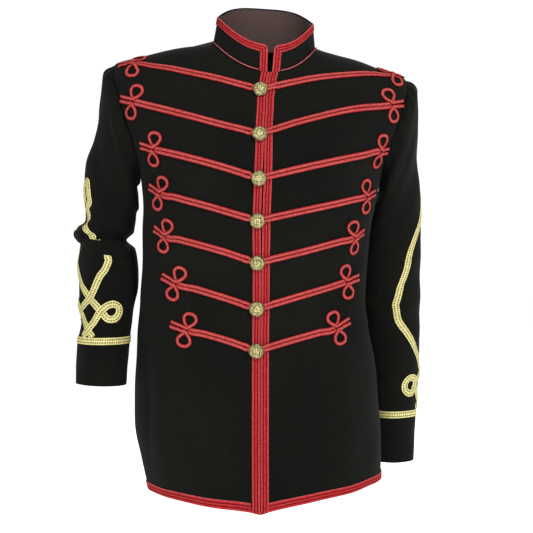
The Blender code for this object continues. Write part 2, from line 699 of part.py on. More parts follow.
class Sleeve:
    """One sleeve's outer face: rings of points from the armhole to the cuff, and their normals."""

    def __init__(self, side):
        self.side = side
        self.sign = SIDES[side]
        table = SLEEVE_RIGHT if side == "right" else SLEEVE_LEFT
        rings = [armhole_ring(self.sign)] + [section_ring(row, self.sign) for row in table]
        towards = rings[1] - rings[0]
        rings[0] = rings[0] + SEAM * towards / np.linalg.norm(towards, axis=1)[:, None]
        self.rings = np.array(rings)
        down = np.gradient(self.rings, axis=0)
        round_it = np.roll(self.rings, -1, axis=1) - np.roll(self.rings, 1, axis=1)
        normals = np.cross(round_it, down) * self.sign
        self.normals = normals / np.linalg.norm(normals, axis=2)[:, :, None]
        steps = np.linalg.norm(np.diff(self.rings.mean(axis=1), axis=0), axis=1)
        self.height = np.concatenate([[0.0], np.cumsum(steps[::-1])])[::-1]

    def ring_at(self, up):
        """Place among the rings, as a real number, of a height up from the cuff's edge."""
        return float(np.interp(up, self.height[::-1], np.arange(len(self.rings))[::-1]))

    def place(self, turn, ring, out=0.0):
        """Point and normal at an angle round the sleeve, in degrees, and a place among the rings."""
        i = min(int(ring), len(self.rings) - 2)
        share = ring - i
        step = 360 / SLEEVE_SIDES
        j = int(math.floor(turn / step))
        part = turn / step - j
        a, b = j % SLEEVE_SIDES, (j + 1) % SLEEVE_SIDES
        weights = ((i, a, (1 - share) * (1 - part)), (i, b, (1 - share) * part))
        weights += ((i + 1, a, share * (1 - part)), (i + 1, b, share * part))
        point = sum(self.rings[r, c] * w for r, c, w in weights)
        normal = sum(self.normals[r, c] * w for r, c, w in weights)
        normal /= np.linalg.norm(normal)
        return point + out * normal, normal

    def panel(self, first, count, out):
        columns = [(first + j) % SLEEVE_SIDES for j in range(count + 1)]
        grid = self.rings[:, columns] + out * self.normals[:, columns]
        left = grid[:, 1] - grid[:, 0]
        right = grid[:, -2] - grid[:, -1]
        grid[:, 0] += left * (SLEEVE_SEAM / 2) / np.linalg.norm(left, axis=1)[:, None]
        grid[:, -1] += right * (SLEEVE_SEAM / 2) / np.linalg.norm(right, axis=1)[:, None]
        return grid

    def girth(self, ring):
        i = min(int(ring), len(self.rings) - 2)
        loops = self.rings[i : i + 2]
        lengths = np.linalg.norm(np.roll(loops, -1, axis=1) - loops, axis=2).sum(axis=1)
        return float(lengths[0] + (lengths[1] - lengths[0]) * (ring - i))


def make_sleeve(sleeve, cloth, gold):
    top = -TOP_SLEEVE_SIDES // 2
    under = SLEEVE_SIDES - TOP_SLEEVE_SIDES
    for name, first, count in (("top", top, TOP_SLEEVE_SIDES), ("under", -top, under)):
        outer = sleeve.panel(first, count, 0.0)
        inner = sleeve.panel(first, count, -CLOTH)
        wall(f"sleeve_{name}_{sleeve.side}", outer, inner, cloth)
    make_cuff_band(sleeve, gold)
    make_sleeve_knot(sleeve, gold)


def make_cuff_band(sleeve, gold):
    up = BAND_UP + SLEEVE_KNOTS[sleeve.side]["raised"]
    low, high = (sleeve.ring_at(up + offset) for offset in (-LACE_WIDTH / 2, LACE_WIDTH / 2))
    places = sorted({low, high, *range(math.ceil(min(low, high)), math.floor(max(low, high)) + 1)})
    turns = [360 * i / SLEEVE_SIDES for i in range(SLEEVE_SIDES)]
    grids = [
        [[sleeve.place(turn, ring, out)[0] for turn in turns] for ring in places]
        for out in (LACE_SEWN_ON + LACE, LACE_SEWN_ON)
    ]
    wall(f"cuff_band_{sleeve.side}", grids[0], grids[1], gold, closed=True)


def knot_half(facts):
    """Half of the sleeve knot laid flat: (aside, up, lift) from the apex to the end at the band."""
    raised, apex = facts["raised"], facts["apex"]
    crossing = UPPER_CROSSING + raised
    eye = EYE_UP + raised
    path = []
    for degrees in HAIRPIN_TURNS:
        turn = math.radians(degrees)
        path.append((HAIRPIN * math.cos(turn), apex - HAIRPIN * (1 - math.sin(turn)), 0))
    for share in STRAND_SHARES:
        aside = max(STRAND.at(share)["aside"] * facts["wide"], HAIRPIN if share > 0.5 else 0.0)
        path.append((aside, crossing + (apex - HAIRPIN - crossing) * share, 0))
    path.append((0.0, crossing, 1))
    path.append((-OWN_CROSSING_OUT / 2, (crossing + eye) / 2, 0))
    path.append((-OWN_CROSSING_OUT, eye - 0.001, 0))
    for degrees in EYE_TURNS:
        turn = math.radians(degrees)
        path.append((-facts["eye_out"] - EYE_RADIUS * math.cos(turn), eye + EYE_RADIUS * math.sin(turn), 0))
    path.append((-OWN_CROSSING_OUT, eye + 0.002, 2))
    path.append((-OWN_CROSSING_OUT / 2, (eye + LOWER_CROSSING + raised) / 2, 0))
    path.append((0.0, LOWER_CROSSING + raised, 3))
    path.append((LACE_WIDTH * 0.9, BAND_UP + raised + LACE_WIDTH / 2 + 0.006, 0))
    path.append((LACE_WIDTH * 0.9, BAND_UP + raised + LACE_WIDTH / 2 + LACE_ABOVE_BAND, 0))
    return path


def spaced(route, spacing):
    """A route with more stations on it, so that none lie further apart than the spacing."""
    dense = []
    for start, end in zip(route, route[1:]):
        start, end = np.array(start), np.array(end)
        pieces = max(1, round(math.hypot(*(end - start)[:2]) / spacing))
        dense += [start + (end - start) * k / pieces for k in range(pieces)]
    return [*dense, np.array(route[-1])]


def make_sleeve_knot(sleeve, gold):
    """The Austrian knot: one lace from the band up, round an eye, over the arm and back the same way."""
    facts = SLEEVE_KNOTS[sleeve.side]
    middles = Table(MIDDLE_COLUMNS, facts["middle"])
    half = knot_half(facts)
    mirrored = [(-aside, up, lift) for aside, up, lift in half[1:]]
    first_lifts = {0: 0, 1: 1, 2: 1, 3: 0}
    second_lifts = {0: 0, 1: 0, 2: 1, 3: 1}
    route = [(aside, up, first_lifts[lift]) for aside, up, lift in reversed(half)]
    route += [(aside, up, second_lifts[lift]) for aside, up, lift in mirrored]
    points, ups, lifts = [], [], []
    for aside, up, lift in spaced(route, LACE_SPACING):
        ring = sleeve.ring_at(up)
        turn = middles.at(up)["turn"] + 360 * aside / sleeve.girth(ring)
        point, normal = sleeve.place(turn, ring)
        points.append(point)
        ups.append(normal)
        lifts.append(lift * (LACE + OVER))
    beneath = tree_of(f"sleeve_top_{sleeve.side}", f"sleeve_under_{sleeve.side}")
    points = laid_over(beneath, points, ups, LACE_WIDTH, LACE_SEWN_ON)
    points = points + np.array(lifts)[:, None] * np.array(ups)
    strip(f"sleeve_knot_{sleeve.side}", points, ups, LACE_WIDTH, LACE, gold)


def flat_knot(tails):
    """Half of a frog's end laid flat, from the lane outwards: (along, up, lift), in metres and lifts."""
    path = [(-0.009, LANE, 0), (0.0, KNOT_FOOT, 0)]
    for i in range(1, KNOT_POINTS + 1):
        turn = i / (KNOT_POINTS + 1)
        along = KNOT_WIDE * math.sin(2 * math.pi * turn) * math.sin(math.pi * turn)
        up = KNOT_FOOT + KNOT_HIGH * (1 - math.cos(2 * math.pi * turn)) / 2
        path.append((along, up, 1 if i == KNOT_POINTS else 0))
    path += [(0.0, KNOT_FOOT, 1), (0.0065, KNOT_FOOT, 1), (0.0125, KNOT_FOOT, 0), (tails, LANE + 0.001, 0)]
    return path


class Spot:
    """A point of the body with directions along a frog and up from it."""

    def __init__(self, angle, level, heading, sign):
        self.angle, self.level = angle, level
        normal = body_normal(angle, level)
        heading = heading - normal * (heading @ normal)
        self.along = heading / np.linalg.norm(heading)
        self.up = np.cross(normal, self.along) * sign

    def reach(self, along, up):
        heading = along * self.along + up * self.up
        distance = math.hypot(along, up)
        if distance < 1e-6:
            return self.angle, self.level
        return walk(self.angle, self.level, heading, distance)


def tail_length(end):
    """How long a frog's tails can be before they come to the armhole."""
    length = TAIL
    while length > SHORTEST_TAIL:
        angle, level = end.reach(length, 0.0)
        edge = math.pi / 2 - armhole_inset(level) if level > ARMPIT else math.pi
        if abs(angle) < edge - TAIL_FROM_ARMHOLE:
            break
        length -= 0.001
    return length


def past_braid(spot):
    """How far out from the button a cord comes clear of the wearer's left front braid."""
    along = BRAID_WIDTH
    clear = False
    while not clear:
        along += 0.001
        angle, level = spot.reach(along, LANE + CORD_WIDTH / 2)
        row = BODY.at(level)
        clear = body_point(angle, level)[0] > row["opening"] + row["gap"] / 2 + BRAID_WIDTH
    return along


def frog_stations(row, side):
    """Half of a frog, as (angle, level, lift) from the button outwards, above and below the middle."""
    sign = SIDES[side]
    level = -row["button_down"]
    start = np.array([BODY.at(level)["opening"] - BUTTON_FROM_OPENING, level])
    knot = np.array([sign * row[f"{side}_out"], -row[f"{side}_down"]])
    tail = np.array([sign * row[f"{side}_tail_out"], -row[f"{side}_tail_down"]])
    bow = np.array([0.0, row[f"{side}_bow"]])

    def lane(share):
        return start + (knot - start) * share + bow * 4 * share * (1 - share)

    def spot(place, towards):
        here = body_at(*place)
        aim = body_point(*body_at(*towards)) - body_point(*here)
        return Spot(*here, aim, sign)

    centre = spot(start, lane(0.3))
    end = spot(knot, tail)
    tails = tail_length(end)
    halves = []
    for half in (1, -1):
        stations = []
        if side == "left":
            for turn in SHANK_LOOP_TURNS:
                along = SHANK_LOOP * math.cos(math.radians(turn))
                stations.append(centre.reach(along, half * SHANK_LOOP * math.sin(math.radians(turn))))
            clear = past_braid(centre)
            near = ((0.0100, LANE), (clear, LANE), (clear + 0.007, LANE))
        else:
            near = ((0.0116, LANE * 0.7), (0.0140, LANE), (0.0240, LANE))
        stations += [centre.reach(along, half * up) for along, up in near]
        span = np.linalg.norm(knot - start)
        first = near[-1][0] / span
        for i in range(1, LANE_POINTS):
            share = first + (1 - first) * (1 - (1 - i / LANE_POINTS) ** LANE_CROWDING)
            if share > 1 - KNOT_ROOM / span:
                continue
            here = spot(lane(share), lane(share + 0.05))
            stations.append(here.reach(0.0, half * LANE))
        lifts = [0.0] * len(stations)
        for along, up, lift in flat_knot(tails):
            stations.append(end.reach(along, half * up))
            lifts.append(lift * (CORD_THICK + OVER))
        halves.append([(*station, lift) for station, lift in zip(stations, lifts)])
    return halves


def make_frog(number, row, side, beneath, red):
    upper, lower = frog_stations(row, side)
    stations = upper[::-1] + lower
    points = [body_point(angle, level) for angle, level, _ in stations]
    ups = [body_normal(angle, level) for angle, level, _ in stations]
    lifts = [lift for _, _, lift in stations]
    points = laid_over(beneath, points, ups, CORD_WIDTH, SEWN_ON)
    points = points + np.array(lifts)[:, None] * np.array(ups)
    strip(f"frog_{side}_{number}", points, ups, CORD_WIDTH, CORD_THICK, red)


def make_button(number, row, gold):
    """A domed button on its shank, as a turned profile."""
    level = -row["button_down"]
    opening = BODY.at(level)["opening"]
    angle, level = body_at(opening - BUTTON_FROM_OPENING, level)
    mesh = bpy.data.meshes.new(f"button_{number}")
    profile = [(r / 1000, 0.0, h / 1000) for r, h in BUTTON_PROFILE_MM]
    mesh.from_pydata(profile, [(i, i + 1) for i in range(len(profile) - 1)], [])
    mesh.materials.append(gold)
    obj = bpy.data.objects.new(f"button_{number}", mesh)
    bpy.data.collections[COLLECTION].objects.link(obj)
    turn = obj.modifiers.new("Turned", "SCREW")
    turn.steps = turn.render_steps = BUTTON_STEPS
    turn.use_merge_vertices = True
    turn.merge_threshold = 1e-5
    normal = Vector(body_normal(angle, level))
    place = Vector(laid_on(angle, level))
    obj.matrix_world = Matrix.Translation(place) @ normal.to_track_quat("Z", "Y").to_matrix().to_4x4()


def main():
    for obj in list(bpy.data.objects):
        bpy.data.objects.remove(obj)
    bpy.context.scene.collection.children.link(bpy.data.collections.new(COLLECTION))
    cloth = make_material("black_wool", (0.012, 0.012, 0.013), 0.9)
    lining = make_material("brown_lining", (0.07, 0.045, 0.04), 0.8)
    red = make_material("red_braid", (0.45, 0.03, 0.045), 0.75)
    gold = make_material("gold_lace", (0.75, 0.60, 0.22), 0.5, 0.3)
    brass = make_material("gilt_brass", (0.80, 0.62, 0.25), 0.3, 1.0)

    make_body(cloth)
    make_underlap(cloth)
    make_edge_braids(red)
    make_collar(cloth, lining, red)
    for side in SIDES:
        make_sleeve(Sleeve(side), cloth, gold)
    beneath = {side: tree_of(f"front_{side}", "front_braid_right", "front_braid_left") for side in SIDES}
    for number, values in enumerate(FROG_ROWS, 1):
        row = dict(zip(FROG_COLUMNS, values))
        for side in SIDES:
            make_frog(number, row, side, beneath[side], red)
        make_button(number, row, brass)


main()
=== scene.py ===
"""Military tunic in the hussar manner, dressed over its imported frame.

Black fulled wool in four body panels, two-piece sleeves and a stand collar, with flat red braid on
the edges, doubled cord frogs, domed gilt buttons and a gold lace knot on each sleeve. It is filled
out as when worn. Metres, +Z up, +X to the wearer's left, and the front faces -Y.
"""

import json
import logging
import math
from dataclasses import dataclass, field, replace
from enum import Enum
from typing import Callable, Iterable, Sequence

import bmesh
import bpy
import numpy as np
from mathutils import Matrix, Vector

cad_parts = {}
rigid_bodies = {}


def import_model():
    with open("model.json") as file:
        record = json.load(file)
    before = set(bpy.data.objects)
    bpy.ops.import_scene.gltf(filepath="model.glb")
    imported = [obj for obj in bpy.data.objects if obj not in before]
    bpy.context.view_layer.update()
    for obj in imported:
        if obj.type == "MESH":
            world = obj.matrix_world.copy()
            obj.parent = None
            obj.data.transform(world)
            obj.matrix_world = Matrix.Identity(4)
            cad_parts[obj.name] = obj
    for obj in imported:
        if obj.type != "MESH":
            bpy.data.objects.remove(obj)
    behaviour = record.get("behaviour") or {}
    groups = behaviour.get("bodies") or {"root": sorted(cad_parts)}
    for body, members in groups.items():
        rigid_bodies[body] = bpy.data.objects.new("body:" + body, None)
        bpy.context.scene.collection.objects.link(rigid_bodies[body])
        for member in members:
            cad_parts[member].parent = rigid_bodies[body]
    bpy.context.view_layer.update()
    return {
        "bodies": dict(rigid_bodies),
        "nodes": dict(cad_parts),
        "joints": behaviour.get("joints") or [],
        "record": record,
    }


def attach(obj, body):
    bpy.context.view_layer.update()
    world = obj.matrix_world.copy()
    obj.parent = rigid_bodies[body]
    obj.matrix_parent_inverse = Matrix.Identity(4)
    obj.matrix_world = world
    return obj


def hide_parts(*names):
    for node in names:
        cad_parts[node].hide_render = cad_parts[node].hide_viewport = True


LOG = logging.getLogger("tunic")

Colour = tuple[float, float, float]
Lines = list[tuple[np.ndarray, np.ndarray]]
Places = Callable[[np.ndarray], np.ndarray]

# Thicknesses and running gaps, as in the solids
CLOTH = 0.0022
LINING = 0.0012
BRAID = 0.0012
LACE = 0.0010
CORD_THICK = 0.0019
SEAM = 0.0003
SEWN_ON = 0.0003
OVER = 0.0003
UNDER_CLOTH = -CLOTH - 0.0004
HAIR = 1e-4

# The form of the body
ROUND = 2.25
BACK_FLATTER = 1.7
SHOULDER_POINT = -0.041
ARMPIT = -0.205
ARMHOLE_HALF_ANGLE = math.radians(26)
ARMHOLE_MIDDLE = (SHOULDER_POINT + ARMPIT) / 2
ARMHOLE_HALF = (SHOULDER_POINT - ARMPIT) / 2
BRAID_WIDTH = 0.012
HEM = -0.687
BODY_COLUMNS = (
    "level", "half", "shift", "front", "back", "front_dip", "back_dip", "spread", "lean", "opening", "gap",
)
BODY_ROWS = (
    (0.0000, 0.0800, 0.0057, 0.078, 0.072, -0.045, 0.020, 2.25, 0.055, 0.0110, 0.0012),
    (-0.012, 0.1400, 0.0030, 0.083, 0.078, -0.047, 0.018, 2.10, 0.050, 0.0080, 0.0012),
    (-0.0255, 0.1870, 0.0010, 0.088, 0.084, -0.047, 0.014, 1.90, 0.048, 0.0060, 0.0012),
    (-0.041, 0.2280, 0.0000, 0.094, 0.090, -0.045, 0.012, 1.70, 0.047, 0.0040, 0.0012),
    (-0.065, 0.2360, 0.0000, 0.105, 0.100, -0.038, 0.010, 1.60, 0.040, 0.0030, 0.0012),
    (-0.100, 0.2330, 0.0000, 0.118, 0.112, -0.025, 0.006, 1.50, 0.030, 0.0010, 0.0012),
    (-0.150, 0.2140, 0.0000, 0.130, 0.120, -0.010, 0.000, 1.50, 0.015, 0.0000, 0.0014),
    (-0.205, 0.1890, 0.0000, 0.136, 0.119, 0.000, 0.000, 1.40, 0.000, -0.0015, 0.0024),
    (-0.285, 0.1800, -0.0060, 0.128, 0.106, 0.000, 0.000, 1.20, 0.000, -0.0037, 0.0024),
    (-0.345, 0.1775, -0.0095, 0.121, 0.099, 0.000, 0.000, 1.20, 0.000, -0.0037, 0.0012),
    (-0.400, 0.1780, -0.0120, 0.118, 0.101, 0.000, 0.000, 1.10, 0.000, -0.0040, 0.0012),
    (-0.444, 0.1830, -0.0115, 0.118, 0.108, 0.000, 0.000, 1.00, 0.000, -0.0045, 0.0012),
    (-0.490, 0.1885, -0.0080, 0.121, 0.120, 0.000, 0.000, 0.90, 0.000, -0.0050, 0.0012),
    (-0.540, 0.1925, -0.0065, 0.126, 0.131, -0.003, 0.000, 0.70, 0.000, -0.0052, 0.0012),
    (-0.590, 0.1940, -0.0045, 0.130, 0.139, -0.008, 0.000, 0.55, -0.005, -0.0055, 0.0012),
    (-0.640, 0.1900, 0.0015, 0.133, 0.143, -0.018, 0.000, 0.62, -0.018, -0.0055, 0.0012),
    (-0.687, 0.1830, 0.0085, 0.135, 0.146, -0.028, 0.000, 0.72, -0.030, -0.0055, 0.0012),
)
SKIRT_FOLD_COLUMNS = ("start_angle", "start_level", "end_angle", "end_level", "width_angle", "height")
SKIRT_FOLD_ROWS = (
    (-58.0, -0.46, -26.0, -0.687, 11.0, 0.0035),
    (-30.0, -0.50, -10.0, -0.687, 9.0, -0.0025),
    (46.0, -0.47, 40.0, -0.687, 11.0, 0.0035),
    (-84.0, -0.50, -80.0, -0.687, 9.0, 0.0040),
    (118.0, -0.44, 112.0, -0.687, 10.0, 0.0045),
    (-122.0, -0.44, -116.0, -0.687, 10.0, 0.0045),
    (152.0, -0.46, 150.0, -0.687, 10.0, 0.0040),
    (-156.0, -0.46, -152.0, -0.687, 10.0, 0.0040),
)
FOLD_ONSET = 1.3

# Sections across each sleeve, from just outside the armhole to the cuff
SLEEVE_COLUMNS = ("out", "aft", "up", "across", "fore", "pitch")
SLEEVE_RIGHT = (
    (0.2172, 0.001, -0.1280, 0.0905, 0.060, 17.4),
    (0.2205, 0.002, -0.1380, 0.0860, 0.062, 18.0),
    (0.2220, 0.006, -0.1725, 0.0740, 0.060, 24.0),
    (0.2273, 0.012, -0.2010, 0.0642, 0.056, 33.0),
    (0.2355, 0.018, -0.2235, 0.0555, 0.052, 46.0),
    (0.2385, 0.024, -0.2425, 0.0490, 0.050, 56.0),
    (0.2375, 0.030, -0.2690, 0.0410, 0.048, 70.0),
    (0.2468, 0.036, -0.2895, 0.0453, 0.051, 85.0),
    (0.2540, 0.036, -0.3010, 0.0405, 0.046, 84.0),
    (0.2422, 0.032, -0.3145, 0.0436, 0.048, 83.0),
    (0.2415, 0.022, -0.3535, 0.0488, 0.048, 80.0),
    (0.2425, 0.010, -0.3975, 0.0446, 0.044, 87.0),
    (0.2437, 0.000, -0.4300, 0.0402, 0.042, 90.0),
    (0.2480, -0.008, -0.4700, 0.0412, 0.041, 90.0),
    (0.2505, -0.014, -0.5040, 0.0405, 0.040, 90.0),
    (0.2515, -0.018, -0.5280, 0.0397, 0.039, 88.0),
)
SLEEVE_LEFT = (
    (0.2165, 0.002, -0.1385, 0.0835, 0.060, 18.0),
    (0.2181, 0.004, -0.1520, 0.0877, 0.062, 20.0),
    (0.2155, 0.012, -0.1873, 0.0756, 0.060, 27.0),
    (0.2125, 0.022, -0.2275, 0.0655, 0.056, 36.0),
    (0.2136, 0.032, -0.2660, 0.0560, 0.052, 51.0),
    (0.2135, 0.042, -0.3115, 0.0513, 0.050, 66.0),
    (0.2130, 0.050, -0.3575, 0.0489, 0.048, 81.0),
    (0.2140, 0.056, -0.4110, 0.0481, 0.046, 89.0),
    (0.2163, 0.060, -0.4625, 0.0463, 0.0435, 87.0),
    (0.2180, 0.064, -0.5125, 0.0440, 0.042, 87.0),
    (0.2188, 0.068, -0.5600, 0.0408, 0.040, 90.0),
    (0.2190, 0.071, -0.6000, 0.0385, 0.039, 90.0),
    (0.2190, 0.073, -0.6400, 0.0375, 0.038, 90.0),
    (0.2190, 0.075, -0.6690, 0.0365, 0.037, 90.0),
)
SLEEVE_SIDES = 16
TOP_SLEEVE_SIDES = 10

# Frogs: each row's button, knots and tails, as distances out from the middle and down
FROG_COLUMNS = (
    "button_down", "right_out", "right_down", "right_tail_out", "right_tail_down",
    "left_out", "left_down", "left_tail_out", "left_tail_down", "right_bow", "left_bow",
)
FROG_ROWS = (
    (0.073, 0.196, 0.031, 0.222, 0.034, 0.203, 0.046, 0.228, 0.050, 0.004, 0.008),
    (0.141, 0.196, 0.090, 0.222, 0.083, 0.199, 0.094, 0.229, 0.090, 0.000, 0.007),
    (0.206, 0.165, 0.162, 0.192, 0.154, 0.181, 0.165, 0.204, 0.162, 0.002, 0.001),
    (0.269, 0.155, 0.229, 0.178, 0.214, 0.158, 0.234, 0.172, 0.229, 0.001, 0.000),
    (0.333, 0.148, 0.294, 0.165, 0.284, 0.139, 0.297, 0.151, 0.292, 0.003, 0.000),
    (0.403, 0.131, 0.366, 0.156, 0.354, 0.129, 0.365, 0.146, 0.360, 0.002, 0.001),
    (0.467, 0.115, 0.436, 0.148, 0.425, 0.112, 0.435, 0.130, 0.427, 0.003, 0.002),
)
BUTTON_FROM_OPENING = 0.0065

# How far a strand of the sleeve knot lies from its middle, over the way from crossing to apex
STRAND_ROWS = (
    (0.00, 0.0000),
    (0.10, 0.0215),
    (0.30, 0.0660),
    (0.37, 0.0690),
    (0.55, 0.0515),
    (0.77, 0.0300),
    (0.90, 0.0165),
    (1.00, 0.0060),
)


class Side(Enum):
    """A side of the wearer, with the way that x goes there."""

    RIGHT = -1
    LEFT = 1

    @property
    def word(self) -> str:
        """The side's name as the nodes have it."""
        return self.name.lower()


def cubic(
    t: np.ndarray, span: np.ndarray, values: np.ndarray, slopes: np.ndarray, i: np.ndarray
) -> np.ndarray:
    """A smooth curve between neighbouring values that keeps their slopes.

    Args:
        t: the share of the way from each value to the next.
        span: how far apart they are.
        values: all the values.
        slopes: the slope at each.
        i: which value each place comes after.

    Returns:
        The curve's values.
    """
    low = values[i] * (1 + 2 * t) * (1 - t) ** 2 + slopes[i] * span * t * (1 - t) ** 2
    high = values[i + 1] * t * t * (3 - 2 * t) + slopes[i + 1] * span * t * t * (t - 1)
    return low + high


class Profile:
    """Named measures that change smoothly over a key, and turn only where their rows do."""

    def __init__(self, names: Sequence[str], keys: Iterable[float], values: Iterable) -> None:
        """Sorts the rows by key and works out a slope at each.

        Args:
            names: a name for each column of values.
            keys: the key of each row.
            values: a row of measures for each key.
        """
        keys, values = np.array(list(keys), float), np.array(list(values), float)
        order = np.argsort(keys)
        self.names = tuple(names)
        self.keys, self.values = keys[order], values[order]
        rise = np.diff(self.values, axis=0) / np.diff(self.keys)[:, None]
        total = np.where(rise[:-1] + rise[1:] == 0, 1, rise[:-1] + rise[1:])
        inner = np.where(rise[:-1] * rise[1:] > 0, 2 * rise[:-1] * rise[1:] / total, 0)
        self.slopes = np.vstack([rise[:1], inner, rise[-1:]])

    def read(self, key: np.ndarray) -> np.ndarray:
        """The measures at some keys.

        Args:
            key: any number of keys.

        Returns:
            An array with one more axis, for the columns.
        """
        key = np.clip(np.asarray(key, float), self.keys[0], self.keys[-1])
        i = np.clip(np.searchsorted(self.keys, key) - 1, 0, len(self.keys) - 2)
        span = (self.keys[i + 1] - self.keys[i])[..., None]
        t = (key - self.keys[i])[..., None] / span
        return cubic(t, span, self.values, self.slopes, i)

    def at(self, key: np.ndarray) -> dict[str, np.ndarray]:
        """The measures at some keys, by name."""
        found = self.read(key)
        return {name: found[..., n] for n, name in enumerate(self.names)}


def units(vectors: np.ndarray) -> np.ndarray:
    """The same directions, each one long."""
    return vectors / np.maximum(np.linalg.norm(vectors, axis=-1), 1e-12)[..., None]


def smooth_step(value: np.ndarray) -> np.ndarray:
    """0 below 0, 1 above 1 and an easy rise between."""
    value = np.clip(value, 0, 1)
    return value * value * (3 - 2 * value)


def along_length(points: np.ndarray) -> np.ndarray:
    """The distance of each point along a line of points."""
    return np.concatenate([[0.0], np.cumsum(np.linalg.norm(np.diff(points, axis=0), axis=1))])


def smoothed(route: np.ndarray, lengths: np.ndarray, spacing: float) -> np.ndarray:
    """A route drawn as one smooth curve, read at even steps.

    Args:
        route: stations, with any number of values each.
        lengths: how far along each station lies.
        spacing: the step between the stations returned.

    Returns:
        The stations of the smooth curve.
    """
    slopes = np.gradient(route, lengths, axis=0)
    want = np.linspace(0, lengths[-1], max(2, int(lengths[-1] / spacing)))
    i = np.clip(np.searchsorted(lengths, want) - 1, 0, len(lengths) - 2)
    span = (lengths[i + 1] - lengths[i])[:, None]
    t = (want - lengths[i])[:, None] / span
    return cubic(t, span, route, slopes, i)


@dataclass(frozen=True)
class Fold:
    """A soft fold or crease, drawn as a line on the cloth.

    The ends are (x, z) on the body and (turn, up) on a sleeve.
    """

    start: tuple[float, float]
    end: tuple[float, float]
    width: float
    height: float
    front: bool = True

    def rise(self, first: np.ndarray, second: np.ndarray, stretch: float = 1.0) -> np.ndarray:
        """How far the fold lifts the cloth at some places.

        Args:
            first: the places' first measure, as in the fold's ends.
            second: their second measure.
            stretch: metres for each unit of the first measure.

        Returns:
            The heights in metres.
        """
        away, share = self._from_line(first, second, stretch)
        swell = 0.55 + 0.45 * np.sin(np.pi * share)
        return self.height * swell * np.exp(-away * away)

    def puff(self, first: np.ndarray, second: np.ndarray, stretch: float) -> np.ndarray:
        """The same for a fold that stands up steeply and is full on top."""
        away, _ = self._from_line(first, second, stretch)
        return self.height * smooth_step((1 - away) / 0.45)

    def _from_line(
        self, first: np.ndarray, second: np.ndarray, stretch: float
    ) -> tuple[np.ndarray, np.ndarray]:
        """How far places lie from the fold's line, in its widths, and the share of the way along it."""
        ax, az = self.start[0] * stretch, self.start[1]
        bx, bz = self.end[0] * stretch, self.end[1]
        dx, dz = bx - ax, bz - az
        px, pz = first * stretch - ax, second - az
        share = np.clip((px * dx + pz * dz) / (dx * dx + dz * dz), 0, 1)
        return np.hypot(px - share * dx, pz - share * dz) / self.width, share


BODY_FOLDS = (
    Fold((-0.142, -0.430), (-0.060, -0.640), 0.019, 0.0040),
    Fold((-0.098, -0.470), (-0.026, -0.620), 0.014, -0.0035),
    Fold((-0.178, -0.440), (-0.176, -0.640), 0.007, -0.0030),
    Fold((-0.160, -0.500), (-0.150, -0.680), 0.012, 0.0020),
    Fold((0.125, -0.470), (0.132, -0.690), 0.016, 0.0035),
    Fold((0.092, -0.520), (0.088, -0.690), 0.013, -0.0025),
    Fold((0.166, -0.240), (0.120, -0.330), 0.014, 0.0020),
    Fold((0.158, -0.290), (0.116, -0.380), 0.012, -0.0018),
    Fold((-0.180, -0.225), (-0.128, -0.300), 0.012, 0.0020),
    Fold((-0.176, -0.260), (-0.120, -0.345), 0.012, -0.0018),
    Fold((-0.150, -0.120), (-0.060, -0.180), 0.022, 0.0016),
    Fold((0.150, -0.130), (0.070, -0.185), 0.022, 0.0016),
    Fold((-0.185, -0.065), (-0.150, -0.150), 0.014, -0.0022),
    Fold((0.188, -0.070), (0.158, -0.150), 0.014, -0.0022),
    Fold((0.150, -0.390), (0.060, -0.420), 0.016, 0.0014),
    Fold((-0.160, -0.370), (-0.070, -0.410), 0.016, 0.0014),
    Fold((-0.060, -0.330), (-0.020, -0.470), 0.018, 0.0030, False),
    Fold((0.070, -0.320), (0.030, -0.470), 0.018, 0.0030, False),
    Fold((0.005, -0.420), (0.010, -0.640), 0.016, -0.0030, False),
    Fold((-0.140, -0.330), (-0.060, -0.380), 0.014, -0.0025, False),
    Fold((0.140, -0.320), (0.070, -0.375), 0.014, -0.0025, False),
    Fold((-0.170, -0.120), (-0.110, -0.260), 0.018, 0.0030, False),
    Fold((0.170, -0.120), (0.110, -0.260), 0.018, 0.0030, False),
)


